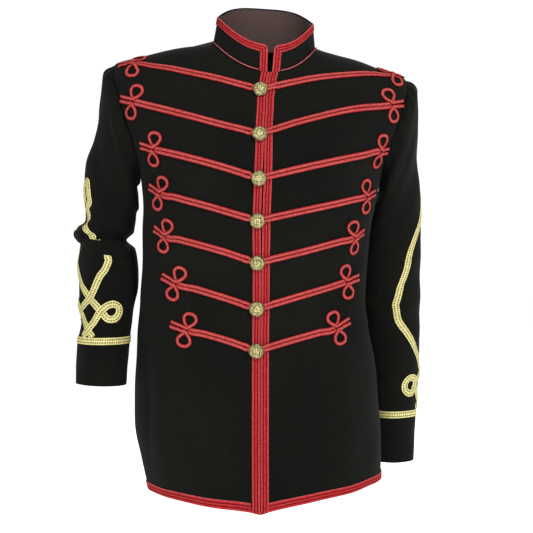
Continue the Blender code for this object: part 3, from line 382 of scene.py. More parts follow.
class BodyForm:
    """The outer face of the body, read by angle round it and level down it."""

    undulation: float = 0.0006
    stride: float = 0.006
    tries: int = 12
    widest: float = 0.999

    def __init__(self) -> None:
        """Keeps the rows of the form and of the skirt's folds."""
        rows = np.array(BODY_ROWS)
        self.profile = Profile(BODY_COLUMNS[1:], rows[:, 0], rows[:, 1:])
        self.skirt_folds = [dict(zip(SKIRT_FOLD_COLUMNS, row)) for row in SKIRT_FOLD_ROWS]

    def skirt(self, angle: np.ndarray, level: np.ndarray) -> np.ndarray:
        """How far the skirt's folds push the cloth out."""
        total = np.zeros(np.shape(angle))
        for fold in self.skirt_folds:
            down = (fold["start_level"] - level) / (fold["start_level"] - fold["end_level"])
            middle = np.radians(fold["start_angle"] + (fold["end_angle"] - fold["start_angle"]) * down)
            away = np.arctan2(np.sin(angle - middle), np.cos(angle - middle))
            away = away / math.radians(fold["width_angle"])
            total += fold["height"] * np.clip(down, 0, 1) ** FOLD_ONSET * np.exp(-away * away)
        return total

    def plain(self, angle: np.ndarray, level: np.ndarray) -> np.ndarray:
        """Points of the form without its small folds.

        Args:
            angle: 0 at the centre front and a quarter turn at the wearer's left side.
            level: the height at the sides.

        Returns:
            The points, with one more axis.
        """
        angle, level = np.broadcast_arrays(np.asarray(angle, float), np.asarray(level, float))
        row = self.profile.at(level)
        side, ahead = np.sin(angle), np.cos(angle)
        reach = (abs(side) ** ROUND + abs(ahead) ** ROUND) ** (-1 / ROUND)
        across = reach * side
        front = ahead > 0
        depth = np.where(front, row["front"], row["back"])
        dip = np.where(front, row["front_dip"], row["back_dip"])
        spread = np.where(front, row["spread"], row["spread"] * BACK_FLATTER)
        middle = np.where(front, (row["opening"] - row["shift"]) / row["half"], 0.0)
        off_middle = abs(across - middle) / (1 - np.copysign(middle, across - middle))
        swell = self.skirt(angle, level)
        x = row["half"] * across
        z = level + dip * (1 - np.minimum(off_middle, 1.0) ** spread) - row["lean"] * x
        y = -depth * reach * ahead - swell * ahead
        return np.stack([row["shift"] + x + swell * side, y, z], axis=-1)

    def tangents(self, angle: np.ndarray, level: np.ndarray) -> tuple[np.ndarray, np.ndarray]:
        """The directions round the body and up it, as metres a unit of angle and of level."""
        low, high = np.maximum(level - HAIR, HEM), np.minimum(level + HAIR, 0.0)
        round_it = (self.plain(angle + HAIR, level) - self.plain(angle - HAIR, level)) / (2 * HAIR)
        up_it = (self.plain(angle, high) - self.plain(angle, low)) / np.asarray(high - low)[..., None]
        return round_it, up_it

    def normal(self, angle: np.ndarray, level: np.ndarray) -> np.ndarray:
        """The directions straight off the cloth."""
        return units(np.cross(*self.tangents(angle, level)))

    def relief(self, angle: np.ndarray, level: np.ndarray) -> np.ndarray:
        """How far the folds and the soft unevenness of the cloth stand off the plain form."""
        place = self.plain(angle, level)
        x, y, z = place[..., 0], place[..., 1], place[..., 2]
        ahead = np.cos(angle)
        broad = np.sin(41 * x + 17 * z + 1.0) * np.sin(33 * z - 21 * y)
        waves = broad + 0.6 * np.sin(83 * x - 61 * z + 29 * y)
        total = self.undulation * waves
        for fold in BODY_FOLDS:
            facing = smooth_step(3.0 * (ahead if fold.front else -ahead) + 0.5)
            total = total + facing * fold.rise(x, z)
        return total

    def on(self, angle: np.ndarray, level: np.ndarray, out: np.ndarray = 0.0) -> np.ndarray:
        """Points of the cloth's outer face, or a distance out from it."""
        lift = np.asarray(self.relief(angle, level) + out)[..., None]
        return self.plain(angle, level) + lift * self.normal(angle, level)

    def angle_of(self, x: np.ndarray, level: np.ndarray) -> np.ndarray:
        """The angle at which a level of the front has a given x."""
        row = self.profile.at(level)
        across = np.clip((x - row["shift"]) / row["half"], -self.widest, self.widest)
        power = abs(across) ** ROUND
        return np.copysign(np.arctan((power / (1 - power)) ** (1 / ROUND)), across)

    def seen_at(self, x: float, z: float) -> tuple[float, float]:
        """Angle and level of the point of the front that lies at (x, z) from straight ahead."""
        level = z
        for _ in range(self.tries):
            angle = float(self.angle_of(x, level))
            level = min(max(level + 0.8 * (z - self.plain(angle, level)[2]), HEM), -HAIR)
        return float(self.angle_of(x, level)), float(level)

    def walk(self, angle: float, level: float, heading: np.ndarray, distance: float) -> tuple[float, float]:
        """Goes straight over the cloth from a point.

        Args:
            angle: where the walk starts.
            level: the same.
            heading: its direction in space.
            distance: how far it goes.

        Returns:
            The angle and level reached.
        """
        pieces = max(1, math.ceil(distance / self.stride))
        heading = np.array(heading, float)
        for _ in range(pieces):
            tangents = np.array(self.tangents(angle, level))
            normal = units(np.cross(*tangents))
            heading = units(heading - normal * (heading @ normal))
            turn = np.linalg.lstsq(tangents.T, heading * distance / pieces, rcond=None)[0]
            angle = float(angle + turn[0])
            level = float(min(max(level + turn[1], HEM), 0.0))
        return angle, level

    def edge(self, side: Side, level: np.ndarray) -> np.ndarray:
        """The x of a front's edge at some levels."""
        row = self.profile.at(level)
        return row["opening"] + side.value * row["gap"] / 2

    @staticmethod
    def armhole_inset(level: np.ndarray) -> np.ndarray:
        """How far the armhole cuts into some levels, as an angle from the side."""
        down = np.clip((level - ARMHOLE_MIDDLE) / ARMHOLE_HALF, -1.0, 1.0)
        return ARMHOLE_HALF_ANGLE * np.sqrt(1 - down * down)


@dataclass(frozen=True)
class Finish:
    """A finish of the tunic: its colours, how they are spread, and its surface.

    Attributes:
        name: the material's name.
        slot: the record's material slot.
        colour: the plain colour.
        shade: the darker colour: painted shade in the hollows where the mask is the piece's own relief, and
            the darker tone of the patches on a cloth that has them.
        span: the mask's values at the shade and at the colour.
        highlight: the paler colour painted as a highlight on the highest threads, where the finish has one.
        patches: how small the patches of tone are, on a cloth that has no relief of its own.
        raised: how strongly the piece's own relief shows in the colour, as painted shade in its hollows and
            painted highlight on its tops.
        uneven: how strongly the colour wanders.
        uneven_size: how closely it does so.
        pitch: the distance between slanting threads, or 0 without them.
        slant: how far they slant.
        thread_colour: how strongly they show in the colour.
        fibres: how fine the raised fibres are, or 0 without them.
        bump: how strong the relief of threads and fibres is.
        bump_depth: its depth in metres.
    """

    name: str
    slot: str
    colour: Colour
    shade: Colour
    span: tuple[float, float]
    # the colour of the painted highlight, where the finish has one
    tip: Colour | None = None
    roughness: float = 0.8
    metallic: float = 0.0
    sheen: float = 0.0
    specular: float = 0.12
    patches: float = 0.0
    raised: float = 1.0
    uneven: float = 0.0
    uneven_size: float = 0.0
    pitch: float = 0.0
    slant: float = 0.0
    thread_colour: float = 0.0
    fibres: float = 0.0
    bump: float = 0.5
    bump_depth: float = 0.0004


WOOL = Finish(
    "fulled_black_wool", "black_wool", (0.0066, 0.0066, 0.0050), (0.0032, 0.0034, 0.0026), (0.38, 0.62),
    roughness=0.95, sheen=0.02, specular=0.1, patches=5.0, fibres=900.0, bump=0.25,
)
COTTON = Finish(
    "brown_cotton_lining", "brown_lining", (0.106, 0.066, 0.060), (0.074, 0.046, 0.041), (0.35, 0.65),
    roughness=0.7, sheen=0.05, specular=0.2, patches=9.0, pitch=0.0011, slant=0.6, bump=0.12,
    bump_depth=0.0002,
)
# The reds of the braid, cord and piping: the colour is their own red, the shade is painted shade in their
# grooves and under the cords, and the paler colour is a painted highlight on the highest threads; a braid's
# edges take the same pale colour.
BRAIDING = Finish(
    "woven_red_braid", "red_braid", (0.52, 0.024, 0.030), (0.110, 0.0012, 0.002), (0.08, 0.66),
    tip=(0.58, 0.135, 0.135), uneven=1.1, uneven_size=420.0, pitch=0.0013, slant=0.9, thread_colour=0.16,
    fibres=1400.0, bump=0.55,
)
CORDING = replace(
    BRAIDING, name="twisted_red_cord", colour=(0.38, 0.018, 0.020), tip=(0.50, 0.115, 0.105),
    pitch=0.0012, slant=0.8, bump=0.5,
)
PIPING = replace(
    CORDING, name="thin_dusky_piping", colour=(0.32, 0.050, 0.055), shade=(0.130, 0.006, 0.008),
    tip=(0.50, 0.190, 0.180),
)
# The lace's shade is painted shade in its pits and between its pebbles.
GOLD_LACE = Finish(
    "pebbled_gold_lace", "gold_lace", (0.80, 0.73, 0.30), (0.055, 0.036, 0.006), (0.22, 0.80), roughness=0.5,
    metallic=0.2, specular=0.4, uneven=0.9, uneven_size=260.0, pitch=0.0008, slant=0.5, bump=0.3,
    bump_depth=0.0002,
)
# The gilt's shade is painted shade in the stamped hollows, and its wandering colour follows the same noise as
# its bump, painting highlight on the pebbling's tops and shade in its dips.
GILT = Finish(
    "gilt_brass_relief", "gilt_brass", (0.90, 0.80, 0.36), (0.030, 0.022, 0.004), (0.06, 0.62),
    roughness=0.36, metallic=0.6, specular=0.6, raised=0.55, uneven=1.5, uneven_size=330.0,
    fibres=330.0, bump=0.7, bump_depth=0.0012,
)


class NodeDesk:
    """Places and joins the nodes of one tree."""

    def __init__(self, tree: bpy.types.NodeTree) -> None:
        """Keeps the tree that it works on."""
        self.tree = tree

    def node(self, kind: str, **values: object) -> bpy.types.Node:
        """Adds a node and sets its properties."""
        made = self.tree.nodes.new(kind)
        for name, value in values.items():
            setattr(made, name, value)
        return made

    def join(self, start: bpy.types.NodeSocket, end: bpy.types.NodeSocket) -> None:
        """Links two sockets."""
        self.tree.links.new(start, end)

    def weighed(self, *parts: tuple[bpy.types.NodeSocket, float]) -> bpy.types.NodeSocket:
        """The sum of some sockets, each times a number."""
        total = None
        for socket, share in parts:
            part = self.sum_of("MULTIPLY", socket, share)
            total = part if total is None else self.sum_of("ADD", total, part)
        return total

    def sum_of(self, operation: str, first: object, second: object = 0.0) -> bpy.types.NodeSocket:
        """A Math node on two sockets or numbers.

        Args:
            operation: the node's operation.
            first: a socket or a number.
            second: the same.

        Returns:
            Its output.
        """
        made = self.node("ShaderNodeMath", operation=operation)
        for socket, value in zip(made.inputs, (first, second)):
            if isinstance(value, bpy.types.NodeSocket):
                self.join(value, socket)
            else:
                socket.default_value = value
        return made.outputs[0]


class SharedEffects:
    """The node groups that more than one finish uses."""

    flecks_finer: float = 60.0

    def __init__(self) -> None:
        """Builds each group once."""
        place, size = ("Place", "NodeSocketVector"), ("Size", "NodeSocketFloat")
        self.tone = self._group("cloth_tone", (place, size), "Mask")
        self.nap = self._group("thread_nap", (place, size), "Height")
        laid = (("Laid", "NodeSocketVector"), ("Pitch", "NodeSocketFloat"), ("Slant", "NodeSocketFloat"))
        self.ribs = self._group("slanting_threads", laid, "Height")
        self._fill_tone()
        self._fill_nap()
        self._fill_ribs()

    @staticmethod
    def _group(name: str, inputs: Sequence[tuple[str, str]], output: str) -> bpy.types.NodeTree:
        """Starts a group with named sockets."""
        tree = bpy.data.node_groups.new(name, "ShaderNodeTree")
        for label, kind in inputs:
            tree.interface.new_socket(label, in_out="INPUT", socket_type=kind)
        tree.interface.new_socket(output, in_out="OUTPUT", socket_type="NodeSocketFloat")
        return tree

    @staticmethod
    def _noise(
        desk: NodeDesk, place: bpy.types.NodeSocket, scale: bpy.types.NodeSocket, detail: float
    ) -> bpy.types.Node:
        """A noise texture at a place."""
        noise = desk.node("ShaderNodeTexNoise")
        noise.inputs["Detail"].default_value = detail
        desk.join(place, noise.inputs["Vector"])
        desk.join(scale, noise.inputs["Scale"])
        return noise

    def _fill_tone(self) -> None:
        """Large soft patches with fine flecks in them."""
        desk = NodeDesk(self.tone)
        inner, outer = desk.node("NodeGroupInput"), desk.node("NodeGroupOutput")
        place, size = inner.outputs["Place"], inner.outputs["Size"]
        patches = self._noise(desk, place, size, 3.0).outputs["Fac"]
        finer = desk.sum_of("MULTIPLY", size, self.flecks_finer)
        flecks = self._noise(desk, place, finer, 2.0).outputs["Fac"]
        desk.join(desk.weighed((patches, 0.6), (flecks, 0.4)), outer.inputs["Mask"])

    def _fill_nap(self) -> None:
        """The raised fibres of a fulled cloth."""
        desk = NodeDesk(self.nap)
        inner, outer = desk.node("NodeGroupInput"), desk.node("NodeGroupOutput")
        fibres = self._noise(desk, inner.outputs["Place"], inner.outputs["Size"], 4.0)
        fibres.inputs["Roughness"].default_value = 0.7
        desk.join(fibres.outputs["Fac"], outer.inputs["Height"])

    def _fill_ribs(self) -> None:
        """Threads that slant across a piece, from its own length and width."""
        desk = NodeDesk(self.ribs)
        inner, outer = desk.node("NodeGroupInput"), desk.node("NodeGroupOutput")
        parts = desk.node("ShaderNodeSeparateXYZ")
        desk.join(inner.outputs["Laid"], parts.inputs[0])
        sideways = desk.sum_of("MULTIPLY", parts.outputs["Y"], inner.outputs["Slant"])
        slanted = desk.sum_of("ADD", parts.outputs["X"], sideways)
        turns = desk.sum_of("DIVIDE", slanted, inner.outputs["Pitch"])
        wave = desk.sum_of("SINE", desk.sum_of("MULTIPLY", turns, 2 * math.pi))
        desk.join(desk.sum_of("ADD", desk.sum_of("MULTIPLY", wave, 0.5), 0.5), outer.inputs["Height"])


class Dyer:
    """Makes each finish's material once, from shared effects."""

    # how far past the colour the mask runs on into the painted highlight, as a share of the span
    tip_span: float = 0.45
    thread_height: float = 0.75
    sheen_roughness: float = 0.5

    def __init__(self) -> None:
        """Builds the shared effects."""
        self.effects = SharedEffects()
        self.made: dict[str, bpy.types.Material] = {}

    def dye(self, finish: Finish) -> bpy.types.Material:
        """The finish's material, made when it is first asked for."""
        if finish.name not in self.made:
            self.made[finish.name] = self._make(finish)
        return self.made[finish.name]

    def _make(self, finish: Finish) -> bpy.types.Material:
        """A material with its constants on the shader, then its colour and relief.

        Args:
            finish: what it looks like.

        Returns:
            The new material, on Object coordinates and the piece's own UV map in metres.
        """
        material = bpy.data.materials.new(finish.name)
        material.use_nodes = True
        material.diffuse_color = (*finish.colour, 1.0)
        desk, shader = NodeDesk(material.node_tree), material.node_tree.nodes["Principled BSDF"]
        constants = {
            "Roughness": finish.roughness,
            "Metallic": finish.metallic,
            "Specular IOR Level": finish.specular,
            "Sheen Weight": finish.sheen,
            "Sheen Roughness": self.sheen_roughness,
        }
        for name, value in constants.items():
            shader.inputs[name].default_value = value
        coordinates = desk.node("ShaderNodeTexCoord")
        place, laid = coordinates.outputs["Object"], coordinates.outputs["UV"]
        threads = self._use(desk, self.effects.ribs, laid, Pitch=finish.pitch or 1.0, Slant=finish.slant)
        fibres = self._use(desk, self.effects.nap, place, Size=finish.fibres)
        self._colour(desk, shader, finish, self._mask(desk, finish, place, threads))
        height = threads if finish.pitch else fibres
        if finish.pitch and finish.fibres:
            height = desk.weighed((threads, self.thread_height), (fibres, 1 - self.thread_height))
        bump = desk.node("ShaderNodeBump")
        bump.inputs["Strength"].default_value = finish.bump
        bump.inputs["Distance"].default_value = finish.bump_depth
        desk.join(height, bump.inputs["Height"])
        desk.join(bump.outputs["Normal"], shader.inputs["Normal"])
        return material

    @staticmethod
    def _use(
        desk: NodeDesk, tree: bpy.types.NodeTree, source: bpy.types.NodeSocket, **values: float
    ) -> bpy.types.NodeSocket:
        """Places a shared group with its own values."""
        made = desk.node("ShaderNodeGroup", node_tree=tree)
        desk.join(source, made.inputs[0])
        for name, value in values.items():
            made.inputs[name].default_value = value
        return made.outputs[0]

    def _mask(
        self, desk: NodeDesk, finish: Finish, place: bpy.types.NodeSocket, threads: bpy.types.NodeSocket
    ) -> bpy.types.NodeSocket:
        """What mixes the shade and the colour: patches of tone, or the piece's own relief, which paints shade
        into its hollows and highlight onto its tops.

        Args:
            desk: the material's desk.
            finish: the finish.
            place: Object coordinates.
            threads: the height of the slanting threads.

        Returns:
            The mask. A piece that carries no painted shade counts as raised, and so is coloured as fully lit.
        """
        if finish.patches:
            return self._use(desk, self.effects.tone, place, Size=finish.patches)
        # the piece's painted shade, 1 in the hollows of its relief
        painted_shade = desk.node("ShaderNodeAttribute", attribute_name="painted_shade").outputs["Fac"]
        raised = desk.sum_of("SUBTRACT", 1.0, painted_shade)
        wander = self._use(desk, self.effects.nap, place, Size=finish.uneven_size)
        off = (desk.sum_of("SUBTRACT", part, 0.5) for part in (wander, threads))
        return desk.weighed((raised, finish.raised), *zip(off, (finish.uneven, finish.thread_colour)))

    def _colour(
        self, desk: NodeDesk, shader: bpy.types.Node, finish: Finish, mask: bpy.types.NodeSocket
    ) -> None:
        """Goes from the finish's shade to its colour, and on to its painted highlight, by a mask; on a relief
        the shade is painted shade in the hollows.
        """
        low, high = finish.span
        paint = None
        steps = [(low, high, finish.colour)]
        if finish.tip:
            steps.append((high, high + (high - low) * self.tip_span, finish.tip))
        for start, end, colour in steps:
            ramp = desk.node("ShaderNodeMapRange")
            ramp.inputs["From Min"].default_value = start
            ramp.inputs["From Max"].default_value = end
            desk.join(mask, ramp.inputs["Value"])
            mix = desk.node("ShaderNodeMix", data_type="RGBA")
            mix.inputs["A"].default_value = (*finish.shade, 1.0)
            mix.inputs["B"].default_value = (*colour, 1.0)
            if paint is not None:
                desk.join(paint, mix.inputs["A"])
            desk.join(ramp.outputs["Result"], mix.inputs["Factor"])
            paint = mix.outputs["Result"]
        desk.join(paint, shader.inputs["Base Color"])


class Tailor:
    def __init__(self, dyer: Dyer) -> None:
        """Keeps the dyer, who has the materials."""
        self.dyer = dyer

    def piece(
        self,
        name: str,
        points: np.ndarray,
        faces: list,
        finish: Finish,
        laid: np.ndarray | None = None,
        raised: np.ndarray | None = None,
        crease: float = 40.0,
    ) -> bpy.types.Object:
        """Makes one closed piece whose faces look outwards, in place of its node.

        Args:
            name: the piece's name, and its node's.
            points: its corners.
            faces: the corners of each face.
            finish: its finish.
            laid: where each corner lies when the piece is laid flat, in metres.
            raised: 0 to 1 for each corner, low in the hollows of a relief, where it paints shade; the tops
                take the painted highlight.
            crease: edges sharper than this many degrees stay crisp.

        Returns:
            The new object.
        """
        mesh = bpy.data.meshes.new(name)
        mesh.from_pydata(points.reshape(-1, 3).tolist(), [], faces)
        bm = bmesh.new()
        bm.from_mesh(mesh)
        bmesh.ops.recalc_face_normals(bm, faces=bm.faces)
        bm.to_mesh(mesh)
        bm.free()
        if laid is not None:
            corners = np.empty(len(mesh.loops), dtype=np.int32)
            mesh.loops.foreach_get("vertex_index", corners)
            layer = mesh.uv_layers.new(name="laid")
            layer.data.foreach_set("uv", laid.reshape(-1, 2)[corners].astype(np.float32).ravel())
        if raised is not None:
            # kept as the painted shade that the material reads
            attribute = mesh.attributes.new("painted_shade", "FLOAT", "POINT")
            attribute.data.foreach_set("value", (1 - raised).astype(np.float32).ravel())
        mesh.polygons.foreach_set("use_smooth", [True] * len(mesh.polygons))
        mesh.set_sharp_from_angle(angle=math.radians(crease))
        mesh.materials.append(self.dyer.dye(finish))
        made = bpy.data.objects.new(name, mesh)
        bpy.context.scene.collection.objects.link(made)
        self.stands_for(made, finish, name)
        return made

    def sheet(self, name: str, outer: np.ndarray, inner: np.ndarray, finish: Finish) -> bpy.types.Object:
        """A sheet of cloth between two grids of points, closed at its edges.

        Args:
            name: the piece's name.
            outer: the points of its outer face, by row and column.
            inner: those of its inner face.
            finish: its finish.

        Returns:
            The new object.
        """
        rows, columns = outer.shape[:2]
        total = rows * columns
        index = np.arange(total).reshape(rows, columns)
        quads = np.stack([index[:-1, :-1], index[:-1, 1:], index[1:, 1:], index[1:, :-1]], -1).reshape(-1, 4)
        starts, ends = quads.ravel(), np.roll(quads, -1, axis=1).ravel()
        pairs = np.minimum(starts, ends) * total + np.maximum(starts, ends)
        _, first, counts = np.unique(pairs, return_index=True, return_counts=True)
        rim = first[counts == 1]
        edge = np.stack([starts[rim], ends[rim], ends[rim] + total, starts[rim] + total], 1)
        faces = np.vstack([quads, quads[:, ::-1] + total, edge])
        steps = np.linalg.norm(np.diff(outer, axis=1), axis=2).cumsum(axis=1)
        along = np.concatenate([np.zeros((rows, 1)), steps], axis=1)
        drops = np.linalg.norm(np.diff(outer, axis=0), axis=2).cumsum(axis=0)
        down = np.concatenate([np.zeros((1, columns)), drops], axis=0)
        laid = np.stack([along, down], -1)
        points = np.vstack([outer.reshape(-1, 3), inner.reshape(-1, 3)])
        return self.piece(name, points, faces.tolist(), finish, np.concatenate([laid, laid]))

    def loft(
        self,
        name: str,
        rings: np.ndarray,
        finish: Finish,
        laid: np.ndarray | None = None,
        raised: np.ndarray | None = None,
        looped: bool = False,
    ) -> bpy.types.Object:
        """A closed skin over a row of rings.

        Args:
            name: the piece's name.
            rings: the points of each ring.
            finish: its finish.
            laid: where each point lies when the piece is laid flat.
            raised: 0 to 1 for each point, low in the hollows, where it paints shade.
            looped: True where the last ring meets the first.

        Returns:
            The new object.
        """
        count, sides = rings.shape[:2]
        index = np.arange(count * sides).reshape(count, sides)
        onward = np.roll(index, -1, axis=0)
        around, both = np.roll(index, -1, axis=1), np.roll(onward, -1, axis=1)
        last = count if looped else count - 1
        quads = np.stack([index[:last], around[:last], both[:last], onward[:last]], -1).reshape(-1, 4)
        faces = quads.tolist()
        if not looped:
            faces += [index[0].tolist(), index[-1].tolist()]
        return self.piece(name, rings, faces, finish, laid, raised, 60.0)

    def strip(
        self,
        name: str,
        finish: Finish,
        place: Places,
        away: np.ndarray,
        base: np.ndarray,
        along: np.ndarray,
        across: np.ndarray,
        relief: tuple[np.ndarray, np.ndarray],
        looped: bool = False,
    ) -> Lines:
        """Lays a flat strip over places that run across it, station by station.

        Args:
            name: the piece's name.
            finish: its finish.
            place: gives the points at distances off the cloth.
            away: the directions off the cloth.
            base: how far off the strip's underside lies.
            along: how far along the strip each station is.
            across: the places across it, in metres.
            relief: the face's height over the underside, and how raised it is, which sets its painted shade
                and highlight.
            looped: True where the strip's ends meet.

        Returns:
            The two lines along which it is sewn down.
        """
        height, mask = relief
        face, under = place(base + height), place(np.broadcast_to(base, height.shape))
        rings = np.concatenate([face, under[:, -1:], under[:, :1]], axis=1)
        # the underside's corners take the full painted shade
        masks = np.concatenate([mask, np.zeros((len(mask), 2))], axis=1)
        across_ring = np.concatenate([across, across[[-1, 0]]])[None, :]
        laid = np.stack(np.broadcast_arrays(along[:, None], across_ring), -1)
        self.loft(name, rings, finish, laid, masks, looped)
        sides = (1, len(across) - 2)
        return [(face[::4, at] + away[::4, at] * HAIR, away[::4, at]) for at in sides]

    def stands_for(self, piece: bpy.types.Object, finish: Finish, *nodes: str) -> None:
        """Args:
            piece: the piece.
            finish: its finish; not used.
            nodes: the CAD nodes that it stands for, if any.
        """
        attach(piece, "root")
        if nodes:
            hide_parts(*nodes)
        LOG.info("%s: %d faces", piece.name, len(piece.data.polygons))


class StitchRows:
    """Small threads or beads set in rows along lines, by one Geometry Nodes tree."""

    def __init__(self) -> None:
        """Builds the tree."""
        self.tree = bpy.data.node_groups.new("rows_of_threads", "GeometryNodeTree")
        sockets = self.tree.interface.new_socket
        sockets("Geometry", in_out="INPUT", socket_type="NodeSocketGeometry")
        self.inputs = {
            name: sockets(name, in_out="INPUT", socket_type=kind).identifier
            for name, kind in (
                ("Spacing", "NodeSocketFloat"),
                ("Length", "NodeSocketFloat"),
                ("Thickness", "NodeSocketFloat"),
                ("Unevenness", "NodeSocketFloat"),
                ("Seed", "NodeSocketInt"),
                ("Material", "NodeSocketMaterial"),
            )
        }
        sockets("Geometry", in_out="OUTPUT", socket_type="NodeSocketGeometry")
        self._fill()

    def _fill(self) -> None:
        """Lines to points, points to threads, threads to one mesh with its finish."""
        desk = NodeDesk(self.tree)
        inner, outer = desk.node("NodeGroupInput"), desk.node("NodeGroupOutput")
        curve = desk.node("GeometryNodeMeshToCurve")
        points = desk.node("GeometryNodeCurveToPoints", mode="LENGTH")
        away = desk.node("GeometryNodeInputNamedAttribute", data_type="FLOAT_VECTOR")
        away.inputs["Name"].default_value = "away"
        turn = desk.node("FunctionNodeAxesToRotation", primary_axis="X", secondary_axis="Z")
        thread = desk.node("GeometryNodeMeshIcoSphere")
        thread.inputs["Radius"].default_value = 0.5
        placed = desk.node("GeometryNodeInstanceOnPoints")
        sizes = desk.node("ShaderNodeCombineXYZ")
        uneven = desk.node("FunctionNodeRandomValue", data_type="FLOAT")
        real, painted = desk.node("GeometryNodeRealizeInstances"), desk.node("GeometryNodeSetMaterial")
        asked, varied = inner.outputs, uneven.outputs["Value"]
        for start, end in (
            (desk.sum_of("SUBTRACT", 1.0, asked["Unevenness"]), uneven.inputs["Min"]),
            (desk.sum_of("ADD", 1.0, asked["Unevenness"]), uneven.inputs["Max"]),
            (asked["Seed"], uneven.inputs["Seed"]),
            (asked["Geometry"], curve.inputs["Mesh"]),
            (curve.outputs["Curve"], points.inputs["Curve"]),
            (asked["Spacing"], points.inputs["Length"]),
            (points.outputs["Tangent"], turn.inputs["Primary Axis"]),
            (away.outputs["Attribute"], turn.inputs["Secondary Axis"]),
            (desk.sum_of("MULTIPLY", asked["Length"], varied), sizes.inputs["X"]),
            (asked["Thickness"], sizes.inputs["Y"]),
            (asked["Thickness"], sizes.inputs["Z"]),
            (points.outputs["Points"], placed.inputs["Points"]),
            (thread.outputs["Mesh"], placed.inputs["Instance"]),
            (turn.outputs["Rotation"], placed.inputs["Rotation"]),
            (sizes.outputs["Vector"], placed.inputs["Scale"]),
            (placed.outputs["Instances"], real.inputs["Geometry"]),
            (real.outputs["Geometry"], painted.inputs["Geometry"]),
            (asked["Material"], painted.inputs["Material"]),
            (painted.outputs["Geometry"], outer.inputs["Geometry"]),
        ):
            desk.join(start, end)

    def sew(
        self,
        name: str,
        lines: Lines,
        material: bpy.types.Material,
        **sizes: float,
    ) -> bpy.types.Object:
        """Sews rows along lines and keeps them as a plain mesh.

        Args:
            name: the piece's name.
            lines: points and outward directions of each line.
            material: the thread's finish.
            sizes: the tree's inputs, by name.

        Returns:
            The new object.
        """
        points = np.vstack([line for line, _ in lines])
        edges, first = [], 0
        for line, _ in lines:
            edges += [(first + i, first + i + 1) for i in range(len(line) - 1)]
            first += len(line)
        guide = bpy.data.meshes.new(name)
        guide.from_pydata(points.tolist(), edges, [])
        attribute = guide.attributes.new("away", "FLOAT_VECTOR", "POINT")
        directions = np.vstack([away for _, away in lines])
        attribute.data.foreach_set("vector", directions.astype(np.float32).ravel())
        made = bpy.data.objects.new(name, guide)
        bpy.context.scene.collection.objects.link(made)
        rows = made.modifiers.new("rows", "NODES")
        rows.node_group = self.tree
        values = {"Seed": 7, "Unevenness": 0.12, "Material": material, **sizes}
        for label, value in values.items():
            rows[self.inputs[label]] = value
        evaluated = made.evaluated_get(bpy.context.evaluated_depsgraph_get())
        mesh = bpy.data.meshes.new_from_object(evaluated)
        made.modifiers.remove(rows)
        made.data = mesh
        bpy.data.meshes.remove(guide)
        mesh.name = name
        mesh.polygons.foreach_set("use_smooth", [True] * len(mesh.polygons))
        return made


@dataclass
class FlatBraid:
    """A woven braid with raised ridges, described by its height across and along."""

    thick: float = BRAID
    ridges: int = 3
    columns: int = 21
    pitch: float = 0.0026
    relief: float = 0.45
    weave: float = 0.14
    spacing: float = 0.0009

    @property
    def across(self) -> np.ndarray:
        """Places across the braid, from 0 to 1."""
        return np.linspace(0.0, 1.0, self.columns)

    def heights(self, along: np.ndarray) -> np.ndarray:
        """Heights of the braid's face over its underside.

        Args:
            along: how far along the braid each station lies.

        Returns:
            A row of heights for each station.
        """
        across = self.across
        ridge = abs(np.sin(self.ridges * np.pi * across)) ** 0.9
        turned = abs((self.ridges * across) % 1.0 - 0.5) * 2
        woven = np.sin(2 * np.pi * (along[:, None] / self.pitch + 0.8 * turned[None, :]))
        edge = np.clip(np.minimum(across, 1 - across) / 0.05, 0, 1)
        body = 1 - self.relief + self.relief * ridge
        face = body[None, :] + self.weave * ridge[None, :] * woven
        return self.thick * (0.45 + 0.55 * edge)[None, :] * face

    def raised(self, heights: np.ndarray) -> np.ndarray:
        """How raised the face is, from 0 in the grooves, painted as shade, to 1 on the ridges and along both
        edges, which take the paler highlight colour.
        """
        low, high = np.quantile(heights, 0.12), np.quantile(heights, 0.92)
        mask = np.clip((heights - low) / (high - low), 0, 1) * 0.86 - 0.08
        at_edge = np.clip(1.6 - np.minimum(self.across, 1 - self.across) / 0.055, 0, 1)[None, :]
        return mask * (1 - at_edge) + 0.95 * at_edge

    def lay(
        self, tailor: Tailor, name: str, place: Places, away: np.ndarray, width: float
    ) -> Lines:
        """Lays the braid over places that run across it.

        Args:
            tailor: who makes the piece.
            name: its name.
            place: gives the points at distances off the cloth.
            away: the directions off the cloth.
            width: how wide the braid is.

        Returns:
            The two lines of stitches.
        """
        along = along_length(place(np.zeros(1))[:, self.columns // 2])
        heights = self.heights(along)
        relief, across = (heights, self.raised(heights)), self.across * width
        return tailor.strip(name, BRAIDING, place, away, np.array(SEWN_ON), along, across, relief)


